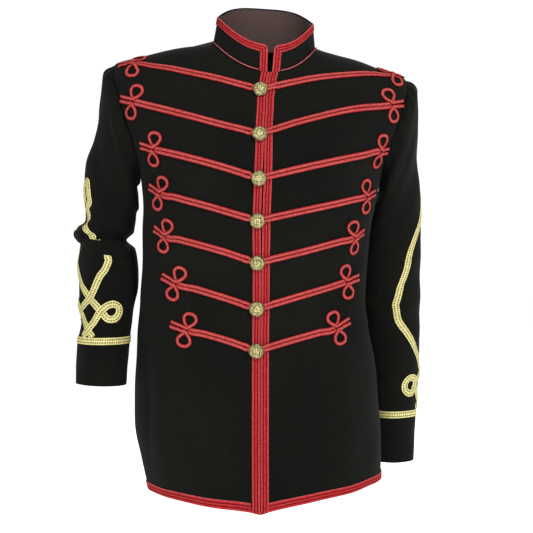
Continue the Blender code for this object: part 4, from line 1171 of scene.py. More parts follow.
@dataclass
class RoundCord:
    """A cord of twisted plies, a little flattened where it is sewn down."""

    width: float = 0.0056
    height: float = 0.0026
    sides: int = 16
    plies: int = 3
    twist: float = 0.0075
    groove: float = 0.17
    spacing: float = 0.0006

    def rings(self, points: np.ndarray, ups: np.ndarray) -> tuple[np.ndarray, np.ndarray, np.ndarray]:
        """Rings round a line of points.

        Args:
            points: the cord's middle.
            ups: the directions off the cloth.

        Returns:
            The rings, where their points lie on the flat cord, and how raised each point is: the mask for
            painted highlight on the top and painted shade on the sides, underneath and between the plies.
        """
        along = along_length(points)
        ahead = units(np.gradient(points, axis=0))
        aside = units(np.cross(ahead, ups))
        above = np.cross(aside, ahead)
        turn = 2 * np.pi * np.arange(self.sides)[None, :] / self.sides - np.pi / 2
        phase = self.plies * (turn + np.pi / 2) / 2 + np.pi * self.plies * along[:, None] / self.twist
        swell = 1 - self.groove + self.groove * 1.3 * abs(np.sin(phase)) ** 0.7
        taper = np.minimum(1.0, 0.35 + np.minimum(along, along[-1] - along) / 0.0012)[:, None]
        wide = self.width / 2 * np.cos(turn) * swell * taper
        high = self.height / 2 * np.sin(turn) * swell * taper
        rings = points[:, None] + wide[..., None] * aside[:, None] + high[..., None] * above[:, None]
        flat = np.broadcast_to((turn + np.pi / 2) * self.width / 2, wide.shape)
        # painted highlight on the cord's top and painted shade down its sides, underneath and in the grooves
        # between its plies
        raised = np.clip(0.05 + 0.95 * np.sin(turn), 0, 1) * (0.50 + 0.50 * abs(np.sin(phase)) ** 0.7)
        return rings, np.stack(np.broadcast_arrays(along[:, None], flat), -1), raised


@dataclass
class BodyPanels:
    """The four panels of the body and the strip behind the opening."""

    form: BodyForm
    tailor: Tailor
    underlap: tuple[float, float] = (0.012, 0.014)
    seam_valley: float = 0.0007
    valley_width: float = 0.003
    seam_closed: float = 0.00002
    flat_front: tuple[float, float] = (0.30, 0.72)
    flat_back: tuple[float, float] = (0.27, 0.72)
    areas: dict[str, float] = field(
        default_factory=lambda: {
            "front_right": 0.179, "front_left": 0.172, "back_right": 0.180, "back_left": 0.176,
        }
    )

    def levels(self) -> np.ndarray:
        """Levels from the neck to the hem, closer where the cloth turns."""
        ridge = np.linspace(0.0, SHOULDER_POINT, 30)
        turns = np.linspace(0, np.pi, 40)
        hole = ARMHOLE_MIDDLE + ARMHOLE_HALF * np.cos(turns)
        skirt = np.linspace(ARMPIT, HEM, 98)
        return np.concatenate([ridge[:-1], hole, skirt[1:]])

    def seam_angle(self, target: np.ndarray, level: np.ndarray, inwards: float) -> np.ndarray:
        """The angle at a seam, held back by half the gap between two panels."""
        round_it = self.form.tangents(target, level)[0]
        return target + inwards * self.seam_closed / np.linalg.norm(round_it, axis=-1)

    def angles(self, side: Side, back: bool) -> np.ndarray:
        """The angle of each column at each level, from a panel's middle edge to its side edge."""
        level = self.levels()
        inset = np.where(level >= ARMPIT, self.form.armhole_inset(level), 0.0)
        share = np.concatenate([np.linspace(0, 0.965, 52), [0.975, 0.983, 0.989, 0.994, 1.0]])[None, :]
        if back:
            near = np.concatenate([[0.0, 0.005, 0.010, 0.016, 0.024], share[0][2:]])[None, :]
            middle = self.seam_angle(np.full(level.shape, np.pi), level, -1)[:, None]
            end = self.seam_angle(np.pi / 2 + inset, level, 1)[:, None]
            return side.value * (middle + (end - middle) * near)
        edge = self.form.edge(side, level)
        widths = np.linspace(0, BRAID_WIDTH, 5)
        hem = np.stack([self.form.angle_of(edge + side.value * width, level) for width in widths], 1)
        end = self.seam_angle(np.pi / 2 - inset, level, -1)[:, None]
        first = side.value * hem[:, -1:]
        return side.value * np.concatenate([side.value * hem[:, :-1], first + (end - first) * share], axis=1)

    def build(self) -> None:
        """Makes the panels and the underlap."""
        level = self.levels()[:, None]
        for side in Side:
            for back in (False, True):
                name = f"{'back' if back else 'front'}_{side.word}"
                angle = self.angles(side, back)
                face = self.form.on(angle, level)
                to_side = np.linalg.norm(face - face[:, -1:], axis=2)
                valley = self.seam_valley * np.exp(-((to_side / self.valley_width) ** 2))
                if back:
                    to_middle = np.linalg.norm(face - face[:, :1], axis=2)
                    valley += self.seam_valley * np.exp(-((to_middle / self.valley_width) ** 2))
                outer = self.form.on(angle, level, -valley)
                piece = self.tailor.sheet(name, outer, self.form.on(angle, level, -CLOTH), WOOL)
        self._build_underlap()

    def _build_underlap(self) -> None:
        """The strip of cloth that closes the opening from inside."""
        level = self.levels()[4:, None]
        opening = self.form.profile.at(level)["opening"]
        x = opening + np.linspace(-self.underlap[0], self.underlap[1], 9)[None, :]
        angle = self.form.angle_of(x, level)
        outer, inner = (self.form.on(angle, level, UNDER_CLOTH - deep) for deep in (0.0, LINING))
        piece = self.tailor.sheet("front_underlap", outer, inner, WOOL)


@dataclass
class EdgeBraids:
    """Flat red braid down both front edges and round the hem."""

    form: BodyForm
    tailor: Tailor
    radius_ahead: float = 0.19
    radius_behind: float = 0.14
    hem_length: float = 0.29
    braid: FlatBraid = field(default_factory=FlatBraid)

    def build(self) -> Lines:
        """Makes the braids.

        Returns:
            The lines along which they are sewn down.
        """
        lines = []
        for side in Side:
            lines += self._front(side)
            for back in (False, True):
                lines += self._hem(side, back)
        return lines

    def _make(self, name: str, angle: np.ndarray, level: np.ndarray) -> Lines:
        """Lays a braid over places that run across it, station by station.

        Args:
            name: the piece's name, and its node's.
            angle: the angles, by station and then across.
            level: the levels, the same.

        Returns:
            The two lines of stitches.
        """
        def place(out: np.ndarray) -> np.ndarray:
            """The same places, off the cloth."""
            return self.form.on(angle, level, out)

        return self.braid.lay(self.tailor, name, place, self.form.normal(angle, level), BRAID_WIDTH)

    def _front(self, side: Side) -> Lines:
        """The braid down one front edge."""
        count = int(-HEM / self.braid.spacing)
        level = np.linspace(0.0, HEM, count)[:, None]
        x = self.form.edge(side, level) + side.value * BRAID_WIDTH * self.braid.across[None, :]
        return self._make(f"front_braid_{side.word}", self.form.angle_of(x, level), level)

    def _hem(self, side: Side, back: bool) -> Lines:
        """The braid along the hem of one panel."""
        level = (HEM + BRAID_WIDTH * (1 - self.braid.across))[None, :]
        if back:
            gap = SEAM / 2 / self.radius_behind
            start, end = np.pi - gap, np.pi / 2 + gap
        else:
            edge = self.form.edge(side, HEM) + side.value * (BRAID_WIDTH + SEAM)
            start, end = side.value * self.form.angle_of(edge, HEM), np.pi / 2 - SEAM / 2 / self.radius_ahead
        stations = int(self.hem_length / self.braid.spacing)
        angle = side.value * np.linspace(float(start), float(end), stations)[:, None]
        name = f"hem_braid_{'back' if back else 'front'}_{side.word}"
        return self._make(name, *np.broadcast_arrays(angle, level))


@dataclass
class Collar:
    """The stand collar with its lining, braid and foot cord."""

    form: BodyForm
    tailor: Tailor
    heights: tuple[float, float, float] = (0.042, 0.040, 0.046)
    top_narrower: float = 0.0055
    top_shift: float = 0.0020
    boxy: float = 0.5
    corner: float = 0.007
    facing: float = 0.5
    facing_from: float = 0.3
    length: float = 0.47
    close_columns: float = 0.06
    half_length: float = 0.245
    edges: tuple[tuple[float, float], tuple[float, float]] = ((0.0072, 0.0148), (0.0085, 0.0185))
    braid_width: float = 0.0115
    tightest_bend: float = 0.0006
    lining_inside: float = 0.002
    cord_share: float = 0.055
    cord_length: float = 0.235
    cord_off: float = 0.0008
    braid: FlatBraid = field(default_factory=FlatBraid)
    piping: RoundCord = field(default_factory=lambda: RoundCord(0.0022, 0.0022, 10, 3, 0.0054, 0.17, 0.0006))

    def point(self, angle: np.ndarray, share: np.ndarray, out: np.ndarray = 0.0) -> np.ndarray:
        """Points of the collar's outer face, share of the way up it, or a distance off it."""
        angle, share, out = np.broadcast_arrays(np.asarray(angle, float), share, out)
        foot = self.form.plain(angle, 0.0)
        row = self.form.profile.at(np.zeros(1))
        front, side, back = self.heights
        ahead = np.cos(angle)
        rise = np.maximum(-ahead, 0) ** self.boxy
        height = side + (front - side) * np.maximum(ahead, 0) ** 2 + (back - side) * rise
        inwards = (row["half"] - self.top_narrower * share) / row["half"]
        x = (foot[..., 0] - row["shift"]) * inwards + row["shift"] + self.top_shift * share
        z = foot[..., 2] + SEAM + share * (height - SEAM)
        place = np.stack([x, foot[..., 1] * inwards, z], -1)
        return place + out[..., None] * self.away(angle)

    def away(self, angle: np.ndarray) -> np.ndarray:
        """Level directions off the collar."""
        row = self.form.profile.at(np.zeros(1))
        aside, ahead = np.sin(angle) / row["half"], -np.cos(angle) / row["front"]
        return units(np.stack([aside, ahead, np.zeros(np.shape(angle))], -1))

    def edge(self, side: Side, share: np.ndarray, inside: np.ndarray = 0.0) -> np.ndarray:
        """The angle of a front edge, or of a line that lies inside it."""
        row = self.form.profile.at(np.zeros(1))
        index = 0 if side is Side.RIGHT else 1
        x = self.edges[0][index] + (self.edges[1][index] - self.edges[0][index]) * share + side.value * inside
        half = row["half"] - self.top_narrower * share
        across = (x - row["shift"] - self.top_shift * share) / half
        power = abs(across) ** ROUND
        return np.copysign(np.arctan((power / (1 - power)) ** (1 / ROUND)), across)

    def rounded(self, inside: np.ndarray) -> np.ndarray:
        """How much lower the top edge is where its front corner is rounded off."""
        short = np.clip(self.corner - inside, 0, self.corner)
        return (self.corner - np.sqrt(self.corner**2 - short * short)) / self.heights[0]

    def grid(
        self, out: float, rows: int, margin: float, lowest: float = 0.0, facing: bool = False
    ) -> np.ndarray:
        """Points from the right front edge, round the back, to the left one.

        Args:
            out: how far off the outer face.
            rows: how many rows there are.
            margin: how far the edges are held back.
            lowest: the share of the height at which it starts.
            facing: True where it goes on down inside the back.

        Returns:
            The points, by row and column.
        """
        near = (1 - np.cos(np.linspace(0, np.pi / 2, 14)))[:-1] * self.close_columns
        middle = np.linspace(self.close_columns, 1 - self.close_columns, 150)
        way = np.concatenate([near, middle, (1 - near)[::-1]])[None, :]
        inside = np.minimum(way, 1 - way) * self.length
        top = 1.0 - 0.05 * (lowest > 0) - self.rounded(inside + margin)
        low = np.full(way.shape, lowest)
        if facing:
            from_front = 0.5 - abs(way - 0.5) - self.facing_from
            low = low - (self.facing + lowest) * smooth_step((from_front + 0.03) / 0.06)
        share = low + (top - low) * np.linspace(0, 1, rows)[:, None]
        start, end = self.edge(Side.RIGHT, share, margin), self.edge(Side.LEFT, share, margin) - 2 * np.pi
        return self.point(start + (end - start) * way, share, out)

    def build(self) -> Lines:
        """Makes the collar's pieces.

        Returns:
            The lines along which its braid is sewn down.
        """
        piece = self.tailor.sheet("collar", self.grid(0, 18, 0), self.grid(-CLOTH, 18, 0), WOOL)
        faces = [self.grid(UNDER_CLOTH - deep, 14, self.lining_inside, 0.05, True) for deep in (0.0, LINING)]
        piece = self.tailor.sheet("collar_lining", *faces, COTTON)
        lines = []
        for side in Side:
            lines += self._braid(side)
            self._foot_cord(side)
        return lines

    def _braid(self, side: Side) -> Lines:
        """The braid up one front edge, mitred at the corner and on along the top to the back."""
        rise = self.heights[0]
        foot, across = 0.015, self.braid.across[None, :]
        turn = np.linspace(0, np.pi / 2, 22)[:, None]
        bend = np.maximum(self.corner - self.braid_width * across, self.tightest_bend)
        inside = self.braid_width * across + bend * (1 - np.cos(turn))
        reach = np.maximum(self.corner, self.braid_width * across + bend)
        share = 1 - (reach - bend * np.sin(turn)) / rise
        first = share[:1]
        stations = int(rise * (0.9 - foot) / self.braid.spacing)
        upright = foot + (first - foot) * np.linspace(0, 1, stations)[:-1, None]
        inside = np.concatenate([np.broadcast_to(self.braid_width * across, upright.shape), inside])
        share = np.concatenate([upright, share])
        angle = self.edge(side, share, inside)
        back = side.value * (np.pi - 0.003)
        way = np.linspace(0, 1, int(self.half_length / self.braid.spacing))[1:, None]
        angle = np.concatenate([angle, angle[-1:] + (back - angle[-1:]) * way])
        share = np.concatenate([share, np.broadcast_to(share[-1:], (len(way), share.shape[1]))])

        def place(out: np.ndarray) -> np.ndarray:
            """The same places, off the collar."""
            return self.point(angle, share, out)

        name = f"collar_braid_{side.word}"
        return self.braid.lay(self.tailor, name, place, self.away(angle), self.braid_width)

    def _foot_cord(self, side: Side) -> None:
        """The thin cord round one half of the collar's foot."""
        start = float(self.edge(side, self.cord_share, self.braid_width + 0.0012)[0])
        back = side.value * np.pi * 0.9985
        angle = np.linspace(start, back, int(self.cord_length / self.piping.spacing))
        points = self.point(angle, self.cord_share, self.piping.height / 2 + self.cord_off)
        rings, laid, raised = self.piping.rings(points, self.away(angle))
        self.tailor.loft(f"collar_cord_{side.word}", rings, PIPING, laid, raised)


class SleeveForm:
    """The outer face of one sleeve, read by the turn round it and the height up from its cuff."""

    sides: int = 96
    spacing: float = 0.003
    undulation: float = 0.0007
    radius: float = 0.05
    gathers: int = 17
    gathers_height: float = 0.0016
    gathers_reach: float = 0.022

    def __init__(
        self,
        form: BodyForm,
        side: Side,
        rows: Sequence[tuple],
        folds: Sequence[Fold],
        tucks: Sequence[Fold] = (),
    ) -> None:
        """Draws the sleeve through its sections.

        Args:
            form: the body that it is set into.
            side: which sleeve it is.
            rows: its sections.
            folds: its folds and creases.
            tucks: the folds that close over the lace.
        """
        self.side, self.tucks = side, tucks
        turn = 2 * np.pi * np.arange(self.sides) / self.sides
        angle = side.value * (np.pi / 2 - ARMHOLE_HALF_ANGLE * np.sin(turn))
        hole = form.on(angle, ARMHOLE_MIDDLE + ARMHOLE_HALF * np.cos(turn))
        rings = [hole] + [self._section(dict(zip(SLEEVE_COLUMNS, row)), turn) for row in rows]
        rings[0] = rings[0] + SEAM * units(rings[1] - rings[0])
        rings = np.array(rings)
        length = along_length(rings.mean(axis=1))
        through = Profile((), length, rings.reshape(len(rings), -1))
        count = int(length[-1] / self.spacing)
        self.down = np.linspace(0, length[-1], count)
        self.rings = through.read(self.down).reshape(count, self.sides, 3)
        self.up = length[-1] - self.down
        down_it = np.gradient(self.rings, axis=0)
        round_it = np.roll(self.rings, -1, axis=1) - np.roll(self.rings, 1, axis=1)
        self.normals = units(np.cross(round_it, down_it) * side.value)
        self.girths = np.linalg.norm(np.roll(self.rings, -1, axis=1) - self.rings, axis=2).sum(axis=1)
        signed = np.arctan2(np.sin(turn), np.cos(turn))[None, :]
        up = self.up[:, None]
        broad = np.sin(3 * turn[None, :] + 70 * up) * np.sin(55 * up)
        relief = self.undulation * (broad + 0.6 * np.sin(5 * turn[None, :] - 90 * up))
        for fold in folds:
            relief = relief + fold.rise(signed, up, self.radius)
        near_hole = np.exp(-((self.down[:, None] / self.gathers_reach) ** 2))
        gathers = self.gathers_height * near_hole * np.sin(self.gathers * turn[None, :])
        hold = smooth_step(self.down[:, None] / 0.008)
        relief = (relief + gathers) * hold + self.tucked(turn[None, :], up)
        self.rings = self.rings + relief[..., None] * self.normals

    def _section(self, facts: dict[str, float], turn: np.ndarray) -> np.ndarray:
        """One section, started at its outer side and going round by the front."""
        slant, sign = math.radians(facts["pitch"]), self.side.value
        outwards = np.array([math.sin(slant) * sign, 0.0, math.cos(slant)])
        middle = np.array([facts["out"] * sign, facts["aft"], facts["up"]])
        across = facts["across"] * np.cos(turn)[:, None] * outwards
        return middle + across + facts["fore"] * np.sin(turn)[:, None] * np.array([0.0, -1.0, 0.0])

    def tucked(self, turn: np.ndarray, up: np.ndarray) -> np.ndarray:
        """How far the tucks stand off the cloth that they close over."""
        signed = np.arctan2(np.sin(turn), np.cos(turn))
        total = np.zeros(np.broadcast_shapes(np.shape(turn), np.shape(up)))
        for tuck in self.tucks:
            total = np.maximum(total, tuck.puff(signed, up, self.radius))
        return total

    def girth(self, up: np.ndarray) -> np.ndarray:
        """How far it is round the sleeve at some heights."""
        return np.interp(up, self.up[::-1], self.girths[::-1])

    def place(self, turn: np.ndarray, up: np.ndarray, out: np.ndarray = 0.0) -> tuple[np.ndarray, np.ndarray]:
        """Points and normals of the sleeve.

        Args:
            turn: the angle round it, in radians.
            up: the height up from the cuff's edge.
            out: how far off the cloth.

        Returns:
            The points, and the directions off the cloth.
        """
        turn, up, out = np.broadcast_arrays(np.asarray(turn, float), np.asarray(up, float), out)
        row = np.clip(np.interp(up, self.up[::-1], np.arange(len(self.up))[::-1]), 0, len(self.up) - 1.001)
        i = row.astype(int)
        share = (row - i)[..., None]
        step = turn / (2 * np.pi / self.sides)
        j = np.floor(step).astype(int)
        part = (step - j)[..., None]
        a, b = j % self.sides, (j + 1) % self.sides
        found = []
        for grid in (self.rings, self.normals):
            upper = grid[i, a] * (1 - part) + grid[i, b] * part
            lower = grid[i + 1, a] * (1 - part) + grid[i + 1, b] * part
            found.append(upper * (1 - share) + lower * share)
        normal = units(found[1])
        return found[0] + out[..., None] * normal, normal

    def panel(self, first: int, last: int, out: float, gap: float, valley: float) -> np.ndarray:
        """The points of a part of the sleeve between two of its columns.

        Args:
            first: the first column.
            last: the last one.
            out: how far off the outer face.
            gap: how far each edge is held back.
            valley: how far the edges are drawn in.

        Returns:
            The points, by ring and column.
        """
        columns = np.arange(first, last + 1) % self.sides
        off = np.full(len(columns), out)
        off[[0, -1]] -= valley
        off[[1, -2]] -= valley * 0.4
        grid = self.rings[:, columns] + off[None, :, None] * self.normals[:, columns]
        grid[:, 0] += units(grid[:, 1] - grid[:, 0]) * gap
        grid[:, -1] += units(grid[:, -2] - grid[:, -1]) * gap
        return grid


RIGHT_SLEEVE_FOLDS = (
    Fold((0.35, 0.262), (2.40, 0.292), 0.0075, -0.0045),
    Fold((0.20, 0.238), (2.20, 0.246), 0.0070, -0.0040),
    Fold((0.10, 0.285), (1.70, 0.330), 0.0100, 0.0030),
    Fold((-1.30, 0.2635), (0.55, 0.2615), 0.0062, -0.0075),
    Fold((-2.40, 0.275), (-0.60, 0.262), 0.0100, -0.0025),
    Fold((1.20, 0.180), (0.30, 0.120), 0.0110, 0.0018),
    Fold((0.60, 0.350), (1.90, 0.300), 0.0110, -0.0025),
    Fold((-0.90, 0.360), (0.40, 0.395), 0.0130, 0.0022),
    Fold((0.90, 0.400), (1.80, 0.350), 0.0120, -0.0022),
    Fold((1.70, 0.060), (0.90, 0.030), 0.0120, 0.0012),
)
RIGHT_SLEEVE_TUCKS = (
    Fold((-1.20, 0.236), (0.55, 0.234), 0.0170, 0.0042),
    Fold((0.95, 0.2215), (2.15, 0.2200), 0.0165, 0.0048),
)
LEFT_SLEEVE_FOLDS = (
    Fold((0.50, 0.330), (2.30, 0.300), 0.0100, 0.0026),
    Fold((0.60, 0.300), (2.30, 0.272), 0.0090, -0.0030),
    Fold((0.70, 0.262), (2.20, 0.245), 0.0100, 0.0024),
    Fold((-1.90, 0.340), (-0.60, 0.305), 0.0110, 0.0022),
    Fold((-1.70, 0.290), (-0.70, 0.262), 0.0110, -0.0020),
    Fold((0.90, 0.420), (1.90, 0.370), 0.0140, -0.0024),
    Fold((-1.10, 0.450), (-0.30, 0.400), 0.0150, 0.0022),
    Fold((0.40, 0.500), (1.30, 0.450), 0.0130, 0.0022),
    Fold((1.00, 0.180), (1.90, 0.140), 0.0120, 0.0014),
)

# Where the middle of each sleeve's knot lies: the height up the sleeve, and the degrees round it
RIGHT_KNOT_MIDDLE = (
    (0.0, 51.0), (0.110, 51.0), (0.135, 56.0), (0.182, 45.0), (0.204, 48.0), (0.240, 40.0),
    (0.248, 32.0), (0.264, 12.5), (0.276, 10.0), (0.289, 32.0), (0.310, 40.0),
)
LEFT_KNOT_MIDDLE = (
    (0.0, 5.0), (0.30, 6.0), (0.33, 8.0), (0.36, 0.0), (0.39, -25.0), (0.44, -35.0), (0.50, -35.0),
)


@dataclass
class GoldLace:
    """Flat metallic lace: a pebbled face with two rows of pits."""

    width: float = 0.011
    thick: float = LACE
    columns: int = 15
    spacing: float = 0.0009
    pit_pitch: float = 0.0037
    pit_out: float = 0.0024
    pit_size: float = 0.00105

    @property
    def across(self) -> np.ndarray:
        """Places across the lace, from its middle."""
        return np.linspace(-self.width / 2, self.width / 2, self.columns)

    def relief(self, along: np.ndarray) -> tuple[np.ndarray, np.ndarray]:
        """The face's height over the underside, and how raised it is, which paints shade into the pits.

        Args:
            along: how far along the lace each station lies.

        Returns:
            Heights and masks, a row for each station.
        """
        across, along = self.across[None, :], along[:, None]
        beat = (along / self.pit_pitch) % 1.0 - 0.5
        off = (abs(across) - self.pit_out) / self.pit_size
        pit = np.exp(-((beat * self.pit_pitch / self.pit_size) ** 2) - off * off)
        pebble = np.sin(2 * np.pi * along / 0.0021) * np.sin(2 * np.pi * across / 0.0024)
        edge = np.clip((self.width / 2 - abs(across)) / 0.0006, 0, 1)
        height = self.thick * (0.5 + 0.5 * edge) * (0.86 + 0.14 * pebble - 0.62 * pit)
        # the mask paints shade into the pits and onto the low pebbles
        mask = np.clip(0.82 + 0.18 * pebble - 1.15 * pit, 0, 1)
        return height, mask


@dataclass
class Sleeve:
    """One sleeve in two parts, with its Austrian knot and the band above its cuff."""

    shape: SleeveForm
    tailor: Tailor
    apex: float
    raised: float
    wide: float
    eye_out: float
    middle: tuple[tuple[float, float], ...]
    flats: dict[str, tuple[float, float, float]]
    lace: GoldLace = field(default_factory=GoldLace)
    sewn_on: float = 0.0004
    seam_closed: float = 0.00002
    seam_valley: float = 0.0006
    band_up: float = 0.070
    above_band: float = 0.0006
    lower_crossing: float = 0.087
    upper_crossing: float = 0.136
    eye_up: float = 0.117
    eye_radius: float = 0.0125
    eye_turns: tuple[int, ...] = (250, 290, 330, 370, 410, 450, 490)
    own_crossing_out: float = 0.023
    fine_step: float = 0.0007
    hairpin: float = 0.0062
    hairpin_turns: tuple[int, ...] = (90, 55, 20)
    strand_shares: tuple[float, ...] = (
        0.93, 0.84, 0.74, 0.64, 0.54, 0.45, 0.39, 0.37, 0.35, 0.29, 0.22, 0.15, 0.08,
    )

    def build(self) -> Lines:
        """Makes the sleeve.

        Returns:
            The lines along which its lace is sewn down.
        """
        sides, word = self.shape.sides, self.shape.side.word
        top = sides * TOP_SLEEVE_SIDES // SLEEVE_SIDES // 2
        for part, first, last in (("top", -top, top), ("under", top, sides - top)):
            name = f"sleeve_{part}_{word}"
            outer = self.shape.panel(first, last, 0.0, self.seam_closed, self.seam_valley)
            inner = self.shape.panel(first, last, -CLOTH, self.seam_closed, 0.0)
            piece = self.tailor.sheet(name, outer, inner, WOOL)
            width, length, area = self.flats[part]
        return self._band() + self._knot()

    def _band(self) -> Lines:
        """The straight lace round the sleeve above the cuff."""
        up = self.band_up + self.raised
        girth = float(self.shape.girth(up))
        beats = round(girth / self.lace.pit_pitch)
        count = round(girth / self.lace.spacing)
        turn = 2 * np.pi * np.arange(count)[:, None] / count
        relief = self.lace.relief(turn[:, 0] / (2 * np.pi) * beats * self.lace.pit_pitch)
        ups = up + self.lace.across[None, :]
        return self._lay("cuff_band", turn, ups, relief, 0.0, girth, True)

    def _lay(
        self,
        name: str,
        turn: np.ndarray,
        up: np.ndarray,
        relief: tuple[np.ndarray, np.ndarray],
        lift: np.ndarray,
        length: float,
        looped: bool = False,
    ) -> Lines:
        """Lays lace over places of the sleeve, inside the cloth where a tuck closes over it.

        Args:
            name: the piece's name without its side.
            turn: the angles round the sleeve, by station and then across.
            up: the heights, the same.
            relief: the face's height over the underside, and how raised it is.
            lift: how far it is lifted off the cloth where it crosses itself.
            length: how long it is.
            looped: True where its ends meet.

        Returns:
            The two lines of stitches.
        """
        def place(out: np.ndarray) -> np.ndarray:
            """The same places, off the cloth."""
            return self.shape.place(turn, up, out)[0]

        base = self.sewn_on + np.asarray(lift) - self.shape.tucked(turn, up)
        away = self.shape.place(turn, up)[1]
        along = np.linspace(0, length, len(relief[0]))
        name = f"{name}_{self.shape.side.word}"
        return self.tailor.strip(name, GOLD_LACE, place, away, base, along, self.lace.across, relief, looped)

    def _half(self) -> list[tuple[float, float, int]]:
        """Half of the knot laid flat: (aside, up, crossing) from the apex to the end at the band."""
        crossing, eye = self.upper_crossing + self.raised, self.eye_up + self.raised
        shares, asides = zip(*STRAND_ROWS)
        path = []
        for degrees in self.hairpin_turns:
            turn = math.radians(degrees)
            path.append((self.hairpin * math.cos(turn), self.apex - self.hairpin * (1 - math.sin(turn)), 0))
        for share in self.strand_shares:
            aside = float(np.interp(share, shares, asides)) * self.wide
            aside = max(aside, self.hairpin if share > 0.5 else 0.0)
            path.append((aside, crossing + (self.apex - self.hairpin - crossing) * share, 0))
        path.append((0.0, crossing, 1))
        path.append((-self.own_crossing_out / 2, (crossing + eye) / 2, 0))
        path.append((-self.own_crossing_out, eye - 0.001, 0))
        for degrees in self.eye_turns:
            turn = math.radians(degrees)
            aside = -self.eye_out - self.eye_radius * math.cos(turn)
            path.append((aside, eye + self.eye_radius * math.sin(turn), 0))
        path.append((-self.own_crossing_out, eye + 0.002, 2))
        path.append((-self.own_crossing_out / 2, (eye + self.lower_crossing + self.raised) / 2, 0))
        path.append((0.0, self.lower_crossing + self.raised, 3))
        band = self.band_up + self.raised + self.lace.width / 2
        for share, above in ((0.45, 0.006), (0.9, self.above_band)):
            path.append((self.lace.width * share, band + above, 0))
        return path

    def _knot(self) -> Lines:
        """The knot: one lace from the band up, round an eye, over the arm and back the same way."""
        half = self._half()
        first_lifts, second_lifts = {0: 0, 1: 1, 2: 1, 3: 0}, {0: 0, 1: 0, 2: 1, 3: 1}
        route = [(aside, up, first_lifts[lift]) for aside, up, lift in reversed(half)]
        route += [(-aside, up, second_lifts[lift]) for aside, up, lift in half[1:]]
        route = np.array(route, float)
        lengths = along_length(route[:, :2])
        marks = lengths[route[:, 2] > 0]
        flat = smoothed(route[:, :2], lengths, self.fine_step)
        along = along_length(flat)
        marks = marks * along[-1] / lengths[-1]
        lift = (LACE + OVER) * np.max(
            [smooth_step(2.2 - abs(along - mark) / (self.lace.width * 0.62)) for mark in marks], axis=0
        )
        middles = Profile(("turn",), *zip(*((up, (math.radians(turn),)) for up, turn in self.middle)))
        up = flat[:, 1]
        turn = middles.read(up)[..., 0] + 2 * np.pi * flat[:, 0] / self.shape.girth(up)
        centre, away = self.shape.place(turn, up)
        length = along_length(centre)
        even = np.linspace(0, length[-1], int(length[-1] / self.lace.spacing))
        turn, up, lift = (np.interp(even, length, values) for values in (turn, up, lift))
        centre, away = self.shape.place(turn, up)
        aside = units(np.cross(units(np.gradient(centre, axis=0)), away))
        near_turn, near_up = 0.02, 0.001
        sides, ends = (
            [self.shape.place(turn + way * near_turn, up)[0] for way in (1, -1)],
            [self.shape.place(turn, up + way * near_up)[0] for way in (1, -1)],
        )
        per_turn, per_up = (sides[0] - sides[1]) / (2 * near_turn), (ends[0] - ends[1]) / (2 * near_up)
        a, b, c = (per_turn**2).sum(1), (per_turn * per_up).sum(1), (per_up**2).sum(1)
        p, q = (per_turn * aside).sum(1), (per_up * aside).sum(1)
        turn_rate, up_rate = (p * c - q * b) / (a * c - b * b), (q * a - p * b) / (a * c - b * b)
        across = self.lace.across[None, :]
        turns = turn[:, None] + turn_rate[:, None] * across
        ups = up[:, None] + up_rate[:, None] * across
        return self._lay("sleeve_knot", turns, ups, self.lace.relief(even), lift[:, None], length[-1])


class Spot:
    """A point of the body with directions along a frog and up from it."""

    def __init__(self, form: BodyForm, place: Sequence[float], towards: Sequence[float], side: Side) -> None:
        """Finds the point and its directions.

        Args:
            form: the body.
            place: where it is, as (x, z) from straight ahead.
            towards: the point that the frog goes on to.
            side: the side of the wearer.
        """
        self.form = form
        self.angle, self.level = form.seen_at(*place)
        aim = form.plain(*form.seen_at(*towards)) - form.plain(self.angle, self.level)
        normal = form.normal(self.angle, self.level)
        self.along = units(aim - normal * (aim @ normal))
        self.up = np.cross(normal, self.along) * side.value

    def reach(self, along: float, up: float) -> tuple[float, float]:
        """Angle and level of a point reached from this one over the cloth."""
        distance = math.hypot(along, up)
        if distance < 1e-6:
            return self.angle, self.level
        return self.form.walk(self.angle, self.level, along * self.along + up * self.up, distance)


